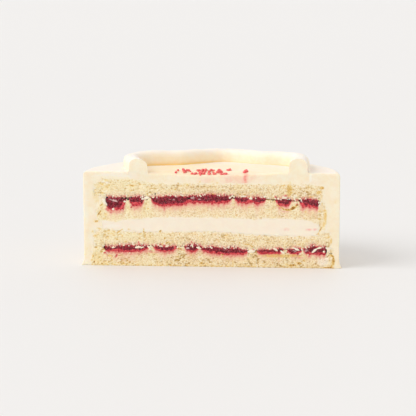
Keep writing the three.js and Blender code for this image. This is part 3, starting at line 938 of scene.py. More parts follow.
def fill_rim(grid, stations, floor_z, roof_z, ends, sink):
    """Moves the grid into a layer's rim, and says for each point how far it lies inside each side."""
    points = points_of(grid)
    across, up = points[:, 0] + 0.5, points[:, 2] + 0.5
    left_row, right_row = (np.interp(z[0] + up * (z[-1] - z[0]), z, end_x) for z, end_x in ends)
    x = left_row + across * (right_row - left_row)
    floor_here = np.interp(x, stations, floor_z)
    roof_here = np.interp(x, stations, roof_z)
    z = floor_here + up * (roof_here - floor_here)
    left_here, right_here = (np.interp(z, *end) for end in ends)
    face = {"x": x, "z": z, "left": x - left_here, "right": right_here - x}
    face["up"] = z - floor_here
    face["down"] = roof_here - z
    edge = np.minimum.reduce([face[side] for side in SIDES])
    roll = np.clip(1 - edge / (EDGE_SOFT * MM), 0, 1) ** 2
    set_points(grid, np.column_stack([x, cut_y + (sink + EDGE_SINK * roll) * MM, z]))
    return face


def move_face(slab, depth):
    """Moves the front points back by a depth in mm, one value for each."""
    points = points_of(slab)
    points[: len(depth), 1] += depth * MM
    set_points(slab, points)


print("faces roll back over", EDGE_SOFT, "mm")

# %% Layer builder
BACK_ANGLES = [2, 6, 14, 24, 36, 48, 60, 72, 82, 88]  # degrees round the half disc
ROW_SHARE = 0.8  # rows of the grid for each cell of height
FACE_SINK = -0.05  # mm, so a sponge's face stands in front of the cut
CALM = 0.6  # mm inside its rim where a layer's face is still smooth
FACING = {"left": "left", "right": "right", "up": "down", "down": "up"}  # side that is up from down


def extrude_back(slab, middle_x, reach):
    """Draws the rim of a cut face back into a half disc and closes it."""
    front_count = len(slab.data.vertices)
    with editing(slab):
        bpy.ops.mesh.select_mode(type="EDGE")
        bpy.ops.mesh.select_all(action="SELECT")
        bpy.ops.mesh.region_to_loop()
        before = 0.0
        for degrees in BACK_ANGLES:
            angle = math.radians(degrees)
            step = reach * (math.sin(angle) - math.sin(before))
            squeeze = math.cos(angle) / math.cos(before)
            bpy.ops.mesh.extrude_region_move(TRANSFORM_OT_translate={"value": (0, step, 0)})
            bpy.ops.transform.resize(value=(squeeze, 1, 1), center_override=(middle_x, 0, 0))
            before = angle
        bpy.ops.mesh.merge(type="CENTER")
        bpy.ops.mesh.select_all(action="SELECT")
        bpy.ops.mesh.normals_make_consistent(inside=False)
    slab.vertex_groups["front"].remove(list(range(front_count, len(slab.data.vertices))))


def cut_slab(name, node, cell, sink=FACE_SINK, under=None, over=None, drawn=("left", "right"), calm=()):
    """A layer with a fine cut face, and how far each point of it lies from the layer's sides.

    under and over name the jam that it lies under or over, drawn names the sides where it is drawn
    over icing or cream, and calm the distances over which icing or cream has smoothed it.
    """
    low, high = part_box(node)
    columns = int((high.x - low.x) / (cell * MM))
    rows = int((high.z - low.z) / (cell * MM) * ROW_SHARE)
    slab = upright_grid(name, columns, rows)
    reach = {side: SPREAD_OVER if side in drawn else OVERLAP for side in SIDES}
    if node == STACK[-1]:
        reach["up"] = SPREAD_UP
    face = fill_rim(slab, outlines[node]["x"], *drawn_rim(node, reach, under, over), sink)
    face["rough"] = np.ones(len(face["x"]))
    for side in calm:
        face["rough"] *= np.clip(face[side] / MM / (reach[FACING[side]] + CALM), 0.1, 1) ** 3
    weigh(slab, "front", face["rough"])
    extrude_back(slab, (low.x + high.x) / 2, high.y - cut_y)
    return slab, face


print("steps from the cut to the back:", len(BACK_ANGLES))

# %% [markdown]
# ## Sponges
#
# A knife drags through the crumb. It leaves low mounds and a fine grain, which are two cloudy
# displacements, and it opens the bubbles that the batter held. The bubbles are pressed into the
# face one at a time, each with its own width and depth, and painted in shade by their depth. The
# dark slits between two sponges are pressed in the same way, by the marks named `shaded_slit`,
# and painted in shade, as is the crumb torn open just above a pool of jam.

# %% Open bubbles
PORES_PER_MM2 = 0.6
PORE_WIDTH = (0.22, 0.62)  # mm, half width of the smallest and the largest
PORE_LONGEST = 1.8  # times as long as it is high
PORE_DEPTH = 0.8  # mm for each mm of half width
PATCH = 9.0  # mm across a patch of larger or of smaller bubbles
PATCHY = 0.35  # how much larger or smaller they are there


def press_pores(face, seed):
    """Depth in mm of the open bubbles at every point of a cut face."""
    draw = np.random.default_rng(seed)
    x, z = face["x"] / MM, face["z"] / MM
    area = (x.max() - x.min()) * (z.max() - z.min())
    count = int(area * PORES_PER_MM2)
    centres = np.column_stack([draw.uniform(x.min(), x.max(), count), draw.uniform(z.min(), z.max(), count)])
    patch = waves(centres[:, 0] * MM, centres[:, 1] * MM, PATCH, seed)
    size = PORE_WIDTH[0] + (PORE_WIDTH[1] - PORE_WIDTH[0]) * draw.random(count) ** 3
    size *= np.clip(1 + PATCHY * patch, 0.5, 1.4)
    lengths = draw.uniform(1.0, PORE_LONGEST, count)
    depth = np.zeros(len(x))
    order = np.argsort(x)
    sorted_x = x[order]
    for (pore_x, pore_z), half, length in zip(centres, size, lengths):
        reach = half * length
        first, last = np.searchsorted(sorted_x, (pore_x - reach, pore_x + reach))
        near = order[first:last]
        near = near[np.abs(z[near] - pore_z) < half]
        away = np.hypot((x[near] - pore_x) / length, z[near] - pore_z) / half
        bowl = np.sqrt(np.clip(1 - away**2, 0, 1))
        depth[near] = np.maximum(depth[near], bowl * half * PORE_DEPTH)
    return depth


print("widest bubble, mm:", round(2 * PORE_WIDTH[1] * PORE_LONGEST, 1))

# %% Relief of the crumb
MOUND = (4.0, 0.3)  # mm, width and height
CRUMB_GRAIN = (0.9, 0.5)  # mm, width and height
GAP_DEPTH = 0.9  # mm
TORN = 2.0  # mm above the jam over which the crumb is torn open and painted in shade
DARKEST_PORE = 0.6  # mm deep


def sponge_face(slab, face, seed, coarse, torn):
    """coarse is 1 for a fresh crumb, less where it is pressed smooth and more where the knife drags
    over it; torn is its lower edge."""
    for name, (wide, high) in (("mounds", MOUND), ("grain", CRUMB_GRAIN)):
        roughen(slab, name, "CLOUDS", wide, high * coarse, "front", "Y", noise_depth=1)
    apply_modifiers(slab)
    pores = press_pores(face, seed) * coarse * face["rough"]
    shaded_slit = marks_at("shaded_slit", face["x"], face["z"])
    # The crumb torn open above a pool is pressed in and painted in shade
    if torn:
        crumbly = np.clip(waves(face["x"], face["z"], 1.2, 6.0) + 0.1, 0, 1)
        shaded_slit = np.maximum(shaded_slit, 0.75 * crumbly * np.exp(-face["up"] / (TORN * MM)))
    move_face(slab, pores + GAP_DEPTH * shaded_slit)
    # The bubbles get painted shade by their depth, and the slits painted shade where they are pressed in
    paint(slab, "pore_shade", pores / DARKEST_PORE)
    paint(slab, "shaded_slit", shaded_slit)


print("slits are", GAP_DEPTH, "mm deep")

# %% [markdown]
# ## What has soaked into the crumb
#
# Jam wets the sponge below it, strongest under the deep pools, and creeps a little into the one
# above. Icing was spread over the ends and over the top sponge, so the crumb there is smeared
# with it and the boundary is soft.

# %% Sponge paint
SOAK_RED = 1.05  # mm below a pool where the crumb is soaked red
SOAK_PINK = {"jam_upper": 3.2, "jam_lower": 2.3}  # mm below a pool where it is still pink
RED_SHARE = 0.62  # of the stain under a pool, the rest is pink
SOAK_UP = 1.0  # mm that jam creeps up above a pool
CREPT = 0.7  # how strongly it stains there
SMEAR = 1.2  # mm of icing dragged over the crumb
BASE_CRUST_AND_SHADE = 1.0  # mm, height over which the baked base of the bottom sponge fades, a crust with painted contact shade
GOLDEN_FROM = -25.0  # mm, x left of which the bubbles turn golden
GOLDEN_FADE = 25.0  # mm


def soaked(face, under, over):
    x, z = face["x"], face["z"]
    soak = marks_at("soak", x, z)
    if under:
        pool = np.clip((jam_thickness(under, x) / MM - 1.4) / 2.2, 0, 1)
        depth = face["down"] / MM / (1 + 0.4 * waves(x, z * 0, 2.6, 3.0)) + 0.25 * waves(x, z, 1.2, 4.0)
        depth = np.maximum(depth, 0)
        run = RED_SHARE * np.exp(-depth / SOAK_RED) + (1 - RED_SHARE) * np.exp(-depth / SOAK_PINK[under])
        soak = np.maximum(soak, pool**0.5 * run)
    if over:
        pool = np.clip((jam_thickness(over, x) / MM - 1.2) / 1.0, 0, 1)
        height = face["up"] / MM + 0.45 * waves(x, z, 1.3, 5.0)
        soak = np.maximum(soak, CREPT * pool * np.exp(-np.maximum(height, 0) / SOAK_UP))
    return soak


def smeared(face, iced):
    x, z = face["x"], face["z"]
    inside = np.minimum.reduce([face[side] for side in iced]) / (SMEAR * MM)
    smear = np.clip(1.35 - inside - 0.8 * waves(x, z, 1.3, 7.0) - 0.4 * waves(x, z, 4.0, 8.0), 0, 1)
    return np.maximum(smear, marks_at("smear", x, z))


def browned(node, face):
    x, z = face["x"], face["z"]
    toast = marks_at("toast", x, z)
    if node != STACK[0]:
        return toast
    # The base of the bottom sponge is browned: its baked crust and painted contact shade where it stands on
    # the floor
    crust = np.clip(0.5 + waves(x, z, 1.6, 13.0), 0, 1) * np.exp(-z / (BASE_CRUST_AND_SHADE * MM))
    return np.maximum(toast, crust)


print("jam soaks in over", SOAK_RED, "mm and turns the crumb pink over", SOAK_PINK)

# %% The four sponges
CELL = 0.27  # mm between points of a sponge's cut face
SPONGES = [
    # node, jam below which it lies, jam over which it lies, rim distances to icing or cream, sides
    # where it is drawn over icing, roughness
    ("sponge_1", "jam_lower", None, ("left", "right"), ("left", "right"), 1.35),
    ("sponge_2", None, "jam_lower", ("left", "right", "down"), ("left", "right"), 0.85),
    ("sponge_3", "jam_upper", None, ("left", "right", "up"), ("left", "right"), 0.65),
    ("sponge_4", None, "jam_upper", ("left", "right", "down"), ("left", "right", "up"), 1.0),
]
for seed, (node, under, over, iced, drawn, coarse) in enumerate(SPONGES, start=1):
    slab, face = cut_slab(node + "_crumb", node, CELL, under=under, over=over, drawn=drawn, calm=iced)
    sponge_face(slab, face, seed, coarse, torn=over)
    paint(slab, "soak", soaked(face, under, over))
    paint(slab, "toast", browned(node, face))
    paint(slab, "smear", smeared(face, iced))
    paint(slab, "pale", marks_at("pale", face["x"], face["z"]))
    paint(slab, "golden", (GOLDEN_FROM - face["x"] / MM) / GOLDEN_FADE)
    sign_off(slab, sponge_material, "sponge", node)

# %% [markdown]
# ## Jam fillings
#
# The jam is built like a sponge but with a lumpier, wetter face. The paint `thin` is high along
# the lower edge, where the jam has begun to run, and low in the thick of it. Where it is only a
# film it lies deeper, between the two sponges.

# %% Jam layers
LUMP = (2.2, 0.6)  # mm, width and height
SEED_HEIGHT = 0.5  # mm
WET_SKIN = (0.7, 0.3)  # mm, width and height of its finest bumps
JAM_SINK = 0.25  # mm that a pool lies behind the cut
FILM_DEPTH = 1.4  # mm more that a film lies behind it
THIN_BAND = 1.1  # mm, least height of the clear red stretch at the foot of a pool
THIN_SHARE = 0.25  # of a pool's depth that is clear red
TOP_RIM = 0.9  # mm over which the upper rim of a pool is clearer too
TOP_RIM_CLEAR = 0.5

for node in ("jam_lower", "jam_upper"):
    slab, face = cut_slab(node + "_gel", node, CELL, sink=JAM_SINK)
    move_face(slab, FILM_DEPTH * film_at(node, face["x"]))
    roughen(slab, "lumps", "CLOUDS", *LUMP, "front", "Y", noise_depth=1)
    roughen(slab, "seeds", "VORONOI", SEED_SPACING, SEED_HEIGHT, "front", "Y", distance_metric="DISTANCE")
    roughen(slab, "skin", "CLOUDS", *WET_SKIN, "front", "Y", noise_depth=0)
    apply_modifiers(slab)
    deep = jam_thickness(node, face["x"]) / MM
    above_floor = face["up"] / MM - 0.5 + 0.6 * waves(face["x"], face["z"], 1.6, 2.0)
    thin = np.clip(1 - above_floor / np.maximum(THIN_BAND, THIN_SHARE * deep), 0, 1) ** 1.7
    thin = np.maximum(thin, TOP_RIM_CLEAR * np.exp(-face["down"] / (TOP_RIM * MM)))
    paint(slab, "thin", np.maximum(thin, marks_at("thin", face["x"], face["z"])))
    for name in ("shine", "shaded_slit"):
        paint(slab, name, marks_at(name, face["x"], face["z"]))
    sign_off(slab, jam_material, "jam", node)

# %% [markdown]
# ## Cream filling
#
# The filling is cut cleanly, so its face only has low waves where the knife dragged it.

# %% Cream layer
CREAM_CELL = 0.4  # mm between points of its cut face
CREAM_SINK = -0.08  # mm, so it stands in front of the cut
CREAM_DRAG = (5.0, 0.3)  # mm, width and height

slab, face = cut_slab("cream_filling_face", "cream_filling", CREAM_CELL, sink=CREAM_SINK, drawn=SIDES)
roughen(slab, "cream_drag", "CLOUDS", *CREAM_DRAG, "front", "Y", noise_depth=1)
apply_modifiers(slab)
for name in ("blush", "toast", "pale"):
    paint(slab, name, marks_at(name, face["x"], face["z"]))
sign_off(slab, cream_material, "cream", "cream_filling")

# %% [markdown]
# ## Icing
#
# The icing starts as a plain drum. Its top edge is bevelled round, its foot is spread, and it is
# cut in half with bisect. Where the fruit lies, a shallow dent is taken out of the top edge.

# %% Iced drum
DRUM_SIDES = 180
ICING_ROUND = 2.2  # mm, top edge
ROUND_STEPS = 5
FOOT_HEIGHT = 7.0  # mm
FOOT_SPREAD = 2.0  # mm
FOOT_CUTS = (0.35, 0.7, 1.0)  # shares of the foot's height where it gets a ring of points


def spread_foot(drum, radius):
    with editing(drum):
        for share in FOOT_CUTS:
            bpy.ops.mesh.select_all(action="SELECT")
            bpy.ops.mesh.bisect(plane_co=(0, 0, FOOT_HEIGHT * MM * share), plane_no=(0, 0, 1))
    points = points_of(drum)
    flare = FOOT_SPREAD * MM / radius * np.clip(1 - points[:, 2] / (FOOT_HEIGHT * MM), 0, 1) ** 2
    points[:, 0] *= 1 + flare
    points[:, 1] = cut_y + (points[:, 1] - cut_y) * (1 + flare)
    set_points(drum, points)


def round_top_edge(drum):
    for edge in drum.data.edges:
        edge.select = all(drum.data.vertices[i].co.z > top_z - ON_FACE * MM for i in edge.vertices)
    with editing(drum):
        bpy.ops.mesh.bevel(offset=ICING_ROUND * MM, segments=ROUND_STEPS, affect="EDGES")
        bpy.ops.mesh.select_all(action="SELECT")
        bpy.ops.mesh.bisect(plane_co=(0, cut_y, 0), plane_no=(0, 1, 0), clear_inner=True, use_fill=True)


radius = foot_radius - FOOT_SPREAD * MM
bpy.ops.object.select_all(action="DESELECT")
bpy.ops.mesh.primitive_cylinder_add(
    vertices=DRUM_SIDES, radius=radius, depth=top_z, location=(0, cut_y, top_z / 2)
)
icing = bpy.context.object
icing.name = "icing_coat"
bpy.ops.object.transform_apply(location=True, rotation=False, scale=False)
spread_foot(icing, radius)
round_top_edge(icing)
print("half drum with a radius of", round(radius / MM, 1), "mm")

# %% Dent where the fruit lies
DIP_X = -3.0  # mm, middle of the low stretch of the cut's top edge
DIP_ABOVE = 1.2  # mm that the ball which presses it stands above the top
DIP_HALF = (56.0, 9.0, 3.1)  # mm, half sizes of that flattened ball


def cut_away(body, cutter):
    boolean = body.modifiers.new("cut_away", "BOOLEAN")
    boolean.operation = "DIFFERENCE"
    boolean.solver = "MANIFOLD"
    boolean.object = cutter
    apply_modifiers(body)
    bpy.data.objects.remove(cutter)


bpy.ops.object.select_all(action="DESELECT")
bpy.ops.mesh.primitive_uv_sphere_add(
    segments=96, ring_count=48, radius=MM, location=(DIP_X * MM, cut_y, top_z + DIP_ABOVE * MM)
)
ball = bpy.context.object
ball.scale = DIP_HALF
cut_away(icing, ball)
print("dent", round(DIP_HALF[2] - DIP_ABOVE, 1), "mm deep")

# %% [markdown]
# ## A hand-scraped skin round the layers
#
# A voxel remesh turns the drum into one even skin, so that slow waves can be laid over it like
# those of a hand-held scraper. They fade out towards the cut. Copies of the layers' own solids
# then hollow it out, which keeps the edges of the cut as sharp as a knife leaves them.

# %% Even skin
ICING_VOXEL = 0.9  # mm
ICING_SMOOTHING = 3  # rounds
HAND_WAVE = (26.0, 0.7)  # mm, width and height
KNIFE_DRAG = (5.0, 0.15)  # mm, width and height
WAVES_FROM = 5.0  # mm behind the cut, where the waves are full


def even_out(piece, voxel, rounds):
    """Turns a piece into one even skin of small faces and relaxes it."""
    pick(piece)
    piece.data.remesh_voxel_size = voxel * MM
    bpy.ops.object.voxel_remesh()
    smooth = piece.modifiers.new("relax", "SMOOTH")
    smooth.factor = 0.5
    smooth.iterations = rounds


even_out(icing, ICING_VOXEL, ICING_SMOOTHING)
weigh(icing, "outer", np.clip((points_of(icing)[:, 1] - cut_y) / (WAVES_FROM * MM), 0, 1))
roughen(icing, "hand_waves", "CLOUDS", *HAND_WAVE, "outer", noise_depth=1)
roughen(icing, "knife_drag", "CLOUDS", *KNIFE_DRAG, noise_depth=1)
apply_modifiers(icing)
print("points of the skin:", len(icing.data.vertices))

# %% Hollows for the layers
HOLLOW_EXTRA = 0.35  # mm that the hollows are larger than the layers
POKE_OUT = 3  # mm that the cutters stand out of the cut and the base


def welded_copy(node, name):
    """A copy of a frame solid with its loose triangles joined up."""
    piece = bpy.data.objects.new(name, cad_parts[node].data.copy())
    bpy.context.collection.objects.link(piece)
    with editing(piece):
        bpy.ops.mesh.select_all(action="SELECT")
        bpy.ops.mesh.remove_doubles(threshold=0.001 * MM)
    return piece


for node in STACK:
    cutter = welded_copy(node, "cutter")
    points = points_of(cutter)
    points[points[:, 1] < cut_y + ON_FACE * MM, 1] -= POKE_OUT * MM
    points[points[:, 2] < ON_FACE * MM, 2] -= POKE_OUT * MM
    set_points(cutter, points)
    with editing(cutter):
        bpy.ops.mesh.select_all(action="SELECT")
        bpy.ops.transform.shrink_fatten(value=HOLLOW_EXTRA * MM)
    cut_away(icing, cutter)
print("hollows cut for", len(STACK), "layers")

# %% [markdown]
# ## Paint of the icing
#
# The top gets a painted sheen where it reflects the sky, the paint `upward_sheen`. Inside the rope
# a patch gets painted shade and yellow bounce light instead, the paint `crease_shading`.

# %% Icing paint
FRONT = 7.0  # mm behind the cut, over which the marks of the cut fade
TOP_BAND = 3.0  # mm below the top that still count as top
SHADE_PATCH_X = 3.0  # mm, middle of the patch inside the rope that is painted in the rope's shade and yellow bounce light
SHADE_PATCH = (46.0, 40.0)  # mm, half size of that patch

points = points_of(icing)
front = np.clip(1 - (points[:, 1] - cut_y) / (FRONT * MM), 0, 1)
for name in ("blush", "toast", "pale"):
    paint(icing, name, marks_at(name, points[:, 0], points[:, 2]) * front)
# The sheen is weaker in the rope's shade, and the painted shade inside the rope is stronger to the left,
# where the rope's left wall shades the top.
topmost = np.clip(normals_of(icing)[:, 2], 0, 1) * (points[:, 2] > top_z - TOP_BAND * MM)
away = np.hypot((points[:, 0] / MM - SHADE_PATCH_X) / SHADE_PATCH[0], (points[:, 1] - cut_y) / MM / SHADE_PATCH[1])
in_rope_shade = np.clip(3.5 - 2.5 * away, 0, 1)
leftward = np.clip(0.3 - points[:, 0] / (40 * MM), 0, 1)
paint(icing, "upward_sheen", topmost * (1 - front**6) * (1 - 0.8 * in_rope_shade))
paint(icing, "crease_shading", topmost * in_rope_shade * (0.15 + 0.11 * leftward))
sign_off(icing, icing_material, "icing", "icing")
bpy.ops.object.shade_smooth_by_angle(angle=math.radians(SMOOTH_ANGLE))

# %% [markdown]
# ## Piped ring
#
# The rope was squeezed from a wide round nozzle, so its skin is smooth and its section is a tall
# arch. The frame's rope already runs where it should, so a welded copy is remeshed finely and
# relaxed until the facets are gone, and slow waves give it the unsteady hand. Its ends are first
# drawn out in front of the cut and down into the icing, and bisect then slices them off where
# the knife did, so that the rope and the icing below it show one flat face.

# %% Rope with drawn-out ends
RING_VOXEL = 0.6  # mm
RING_SMOOTHING = 6  # rounds
ROPE_WAVE = (14.0, 0.9)  # mm, width and height
FOOT_BAND = 0.35  # mm above the icing that count as the rope's foot
RING_SINK = 0.8  # mm that the foot sinks into the icing
END_SINK = 7.0  # mm that the ends reach down, in front of the cut
END_FORWARD = 4.0  # mm that the ends are drawn out before they are sliced

ring = welded_copy("piped_ring", "piped_rope")
points = points_of(ring)
foot = points[:, 2] < top_z + FOOT_BAND * MM
cut_end = points[:, 1] < cut_y + 0.1 * MM
points[foot, 2] = top_z - RING_SINK * MM
points[foot & cut_end, 2] = top_z - END_SINK * MM
points[cut_end, 1] -= END_FORWARD * MM
set_points(ring, points)
even_out(ring, RING_VOXEL, RING_SMOOTHING)
roughen(ring, "rope_waves", "CLOUDS", *ROPE_WAVE, noise_depth=1)
apply_modifiers(ring)
print("points of the rope:", len(ring.data.vertices))

# %% Left end and foot
LEFT_END = (-50.0, 1.7, 14.0)  # mm: x where the widening starts, how much, and how far back
LEFT_FADE = 8  # mm over which it grows towards the middle
FOOT_FLARE = 0.9  # mm that the foot of the rope spreads where it lies on the icing
FLARE_HEIGHT = 1.8  # mm
END_PROUD = 0.01  # mm that the sliced ends stand in front of the cut


def widen_left_end(rope):
    """The left end was pressed flatter by the knife, so it is wider towards the middle."""
    start, wider, back = LEFT_END
    points = points_of(rope)
    near_cut = np.clip(1 - (points[:, 1] - cut_y) / (back * MM), 0, 1)
    inner = np.clip((points[:, 0] / MM - start) / LEFT_FADE, 0, 1) * (points[:, 0] < 0)
    points[:, 0] += wider * MM * near_cut * inner
    set_points(rope, points)


def flare_foot(rope):
    points = points_of(rope)
    low_down = np.clip(1 - (points[:, 2] - top_z) / (FLARE_HEIGHT * MM), 0, 1)
    points[:, :2] += normals_of(rope)[:, :2] * (low_down**2 * FOOT_FLARE * MM)[:, None]
    set_points(rope, points)


widen_left_end(ring)
flare_foot(ring)
with editing(ring):
    bpy.ops.mesh.select_all(action="SELECT")
    bpy.ops.mesh.bisect(
        plane_co=(0, cut_y - END_PROUD * MM, 0), plane_no=(0, 1, 0), clear_inner=True, use_fill=True
    )
print("points once the ends are sliced:", len(ring.data.vertices))

# %% Rope paint
# The rope's crease shading is painted: a dark line of shade at its foot and a yellow glow of bounce light
# above it.
CREASE_MIDDLE = (3.0, -20.0)  # mm, x and y of the open space that the rope goes round
CREASE_LINE = 0.9  # mm above the icing, over which the dark line fades
CREASE_GLOW = 4.0  # mm, over which the glow above it fades


def crease_shading_of(rope):
    """Painted shade and bounce light at the foot, deepest facing the middle and on the left, away from the
    light.
    """
    points, normals = points_of(rope), normals_of(rope)
    height = np.maximum((points[:, 2] - top_z) / MM, 0)
    to_middle = np.array(CREASE_MIDDLE) * MM - points[:, :2]
    inward = np.clip((normals[:, :2] * to_middle).sum(axis=1) / np.hypot(*to_middle.T) * 2 + 0.2, 0, 1)
    left_shade = np.clip(0.5 - points[:, 0] / (30 * MM), 0, 1)
    behind = np.clip((points[:, 1] - cut_y - 1.5 * MM) / (2 * MM), 0, 1)
    line = (0.7 + 0.8 * left_shade) * np.exp(-height / CREASE_LINE)
    return behind * inward * (line + 0.27 * left_shade * np.exp(-height / CREASE_GLOW))


paint(ring, "crease_shading", crease_shading_of(ring))
# A painted sheen on the rope's top, kept off its sliced ends
behind = np.clip((points_of(ring)[:, 1] - cut_y) / (1 * MM), 0, 1)
paint(ring, "upward_sheen", np.clip(normals_of(ring)[:, 2], 0, 1) * behind)
sign_off(ring, ring_material, "ring", "piped_ring")
bpy.ops.object.shade_smooth_by_angle(angle=math.radians(SMOOTH_ANGLE))

# %% [markdown]
# ## Crumbs
#
# A crumb is a rough little ball. One is modelled, and every copy of it has its own mesh, place,
# turn and size. All the copies are then joined into one piece.

# %% One crumb and its copies
FLAKE = (0.9, 0.9)  # mm, width and height


def one_crumb():
    bpy.ops.object.select_all(action="DESELECT")
    bpy.ops.mesh.primitive_ico_sphere_add(subdivisions=2, radius=MM)
    crumb = bpy.context.object
    roughen(crumb, "flake", "CLOUDS", *FLAKE)
    apply_modifiers(crumb)
    return crumb


def place_copy(pattern, place, turns, size):
    piece = pattern.copy()
    piece.data = pattern.data.copy()
    piece.location = [c * MM for c in place]
    piece.rotation_euler = turns
    piece.scale = size
    bpy.context.collection.objects.link(piece)
    return piece


def join_all(pieces, name):
    bpy.ops.object.select_all(action="DESELECT")
    for piece in pieces:
        piece.select_set(True)
    bpy.context.view_layer.objects.active = pieces[0]
    bpy.ops.object.join()
    joined = bpy.context.object
    joined.name = name
    bpy.ops.object.transform_apply(location=True, rotation=True, scale=True)
    return joined


print("a crumb's roughness is", FLAKE[1], "mm")

# %% [markdown]
# ## Loose sponge crumbs
#
# The knife also frees crumbs, and most of them stick where the sponge ends at the jam. The larger
# lumps are set one by one. The small ones are set along those edges by a seeded draw.

# %% Lumps
LUMPS = [
    # x, z, half width, half height, turn in degrees, all in the plane of the cut
    (28.6, 11.5, 2.7, 1.3, 8), (-51.4, 13.4, 2.3, 0.9, 5), (-48.4, 13.3, 1.4, 0.5, 20),
    (-69.0, 13.1, 1.2, 0.7, 10), (-43.6, 13.3, 1.9, 0.7, -45), (45.6, 13.0, 1.9, 0.8, -35),
    (50.6, 11.1, 1.8, 0.9, -35), (60.6, 13.2, 1.9, 0.8, -20), (64.0, 13.3, 0.7, 0.6, 0),
    (58.2, 14.2, 1.5, 0.5, 0), (72.8, 12.6, 2.5, 0.8, 40), (76.2, 14.5, 1.8, 0.7, 12),
    (79.4, 11.9, 0.8, 0.8, 0), (46.8, 23.3, 2.1, 1.1, -10), (-68.8, 40.3, 1.0, 0.9, 0),
    (-60.6, 45.9, 0.9, 0.7, 0), (-45.0, 48.6, 2.1, 0.9, 20), (-47.8, 47.9, 1.1, 0.7, 0),
    (13.4, 49.4, 0.8, 0.7, 40), (23.0, 50.5, 2.0, 0.6, 0), (28.0, 48.9, 1.2, 0.8, -10),
    (51.6, 49.7, 2.0, 0.8, 5), (47.2, 49.0, 0.9, 0.7, 0), (62.2, 49.1, 1.1, 0.6, 0),
    (75.4, 46.6, 0.5, 0.8, 0), (-13.0, 15.0, 1.6, 0.6, -72), (-8.4, 13.4, 1.8, 0.8, -20),
    (12.4, 14.2, 0.9, 0.6, 0), (-35.0, 14.3, 1.4, 0.5, -20), (-31.0, 14.2, 1.3, 0.6, 10),
    (-64.4, 15.6, 1.0, 0.6, 20), (38.0, 50.6, 1.0, 0.6, 0),
]
LUMP_THICK = 0.55  # mm
LUMP_OUT = 0.1  # mm behind the cut

pattern = one_crumb()
loose = []
for x, z, wide, high, turn in LUMPS:
    place = (x, cut_y / MM + LUMP_OUT, z)
    loose.append(place_copy(pattern, place, (0, -math.radians(turn), 0), (wide, LUMP_THICK, high)))
print("lumps:", len(loose))

# %% Scattered crumbs
LOOSE_SEED = 21
LOOSE_COUNT = {"jam_upper": 190, "jam_lower": 210}
LOOSE_SIZE = (0.22, 0.55)  # mm, radius
AT_TOP = 0.93  # share of them that sticks to the upper edge of the jam
ALL_ROUND = 6.28  # radians
PALE = 0.8  # how pale a freed crumb is
WET_SHARE = 0.4  # of the loose crumbs are wet with jam
WET = (0.3, 0.75)  # how wet these are

draw = np.random.default_rng(LOOSE_SEED)
for jam, count in LOOSE_COUNT.items():
    line = outlines[jam]
    for _ in range(count):
        x = draw.uniform(line["x"][0], line["x"][-1])
        top = draw.random() < AT_TOP
        z = np.interp(x, line["x"], line["top" if top else "floor"])
        film = film_at(jam, np.array([x]))[0]
        z += (draw.normal(0.35, 0.5) if top else draw.normal(-1.5, 0.8)) * MM
        radius = draw.uniform(*LOOSE_SIZE) * (1.2 if film > 0.5 else 1.0)
        place = (x / MM, cut_y / MM + draw.uniform(0.0, 0.35), z / MM)
        size = radius * draw.uniform(0.7, 1.4, 3)
        loose.append(place_copy(pattern, place, draw.uniform(0, ALL_ROUND, 3), size))
wet = np.where(draw.random(len(loose)) < WET_SHARE, draw.uniform(*WET, len(loose)), 0)
wet[: len(LUMPS)] = 0
each = len(pattern.data.vertices)
crumbs = join_all(loose, "loose_crumbs")
paint(crumbs, "pale", np.full(len(wet) * each, PALE))
paint(crumbs, "soak", np.repeat(wet, each))
sign_off(crumbs, sponge_material, "sponge")

# %% [markdown]
# ## Fruit crumbs
#
# The groups and the seeded draw are the same as the frame's, so every crumb lies with the bumps
# that stand for its group; the groups at the very edge have rolled a little nearer the cut. Each
# copy is turned and squashed by its own draw.

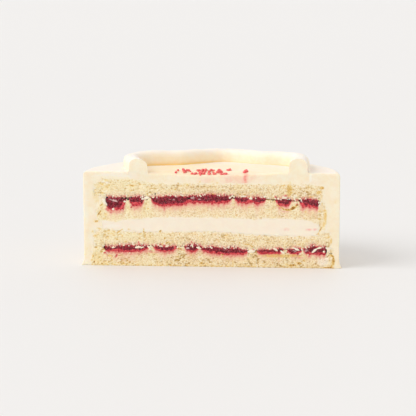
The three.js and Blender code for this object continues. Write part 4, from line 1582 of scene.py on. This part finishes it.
# %% Groups of fruit
CRUMB_GROUPS = [
    # x, depth behind the cut, how many, spread
    (-23.9, 6, 3, 1.8), (-18.6, 8, 7, 1.9), (-15.8, 8, 3, 1.2), (-13.5, 4.6, 2, 0.9), (-11.5, 4.6, 2, 1),
    (-8.6, 7.6, 7, 2), (-5.4, 8.2, 6, 1.8), (-6.8, 4.2, 6, 1.9), (-0.4, 7.8, 6, 1.8), (2.2, 4, 1, 0.5),
    (-1.2, 4.8, 3, 1.1), (5.8, 7.6, 7, 1.9), (9.4, 5, 5, 1.2), (6.6, 3.4, 2, 1), (12.8, 12, 8, 1.9),
    (24, 6.2, 4, 1.1),
]
CRUMB_DEEPER = 1.6  # how much further a group spreads in depth than sideways
CRUMB_RADIUS = (0.7, 1.25)  # mm
CRUMB_SHAPE = (1.25, 0.95, 0.8)  # times its radius
CRUMB_SEED = 12
EDGE_GROUPS = 5.5  # mm, depth of the groups that have rolled up to the very edge
EDGE_NEARER = 1.7  # mm


def top_at(x, depth):
    """Height of the iced top in mm at x and a depth behind the cut."""
    flat = ((x - DIP_X) / DIP_HALF[0]) ** 2 + (depth / DIP_HALF[1]) ** 2
    height = top_z / MM
    if flat >= 1:
        return height
    return min(height, height + DIP_ABOVE - DIP_HALF[2] * math.sqrt(1 - flat))


def draws(seed):
    """The same plain row of draws between 0 and 1 that placed the frame's bumps."""
    state = seed
    while True:
        state = (state * 1664525 + 1013904223) % 2**32
        yield state / 2**32


print("fruit crumbs:", sum(group[2] for group in CRUMB_GROUPS), "in", len(CRUMB_GROUPS), "groups")

# %% Fruit crumbs
draw = draws(CRUMB_SEED)
dried = []
for x, depth, count, spread in CRUMB_GROUPS:
    for _ in range(count):
        angle = next(draw) * 2 * math.pi
        away = spread * math.sqrt(next(draw))
        radius = CRUMB_RADIUS[0] + (CRUMB_RADIUS[1] - CRUMB_RADIUS[0]) * next(draw) ** 1.5
        crumb_x = x + away * math.cos(angle)
        behind = max(radius * 0.5, depth + CRUMB_DEEPER * away * math.sin(angle))
        tilt, turn = next(draw) * 3, next(draw) * 6
        if depth < EDGE_GROUPS:
            behind = max(behind - EDGE_NEARER, 0)
        height = top_at(crumb_x, behind) + radius * 0.45 - 0.4 * (behind < 1)
        size = [share * radius for share in CRUMB_SHAPE]
        dried.append(place_copy(pattern, (crumb_x, cut_y / MM + behind, height), (tilt, 0, turn), size))
bpy.data.objects.remove(pattern)
fruit = join_all(dried, "fruit_crumbs")
sign_off(fruit, fruit_material, "icing", "icing")
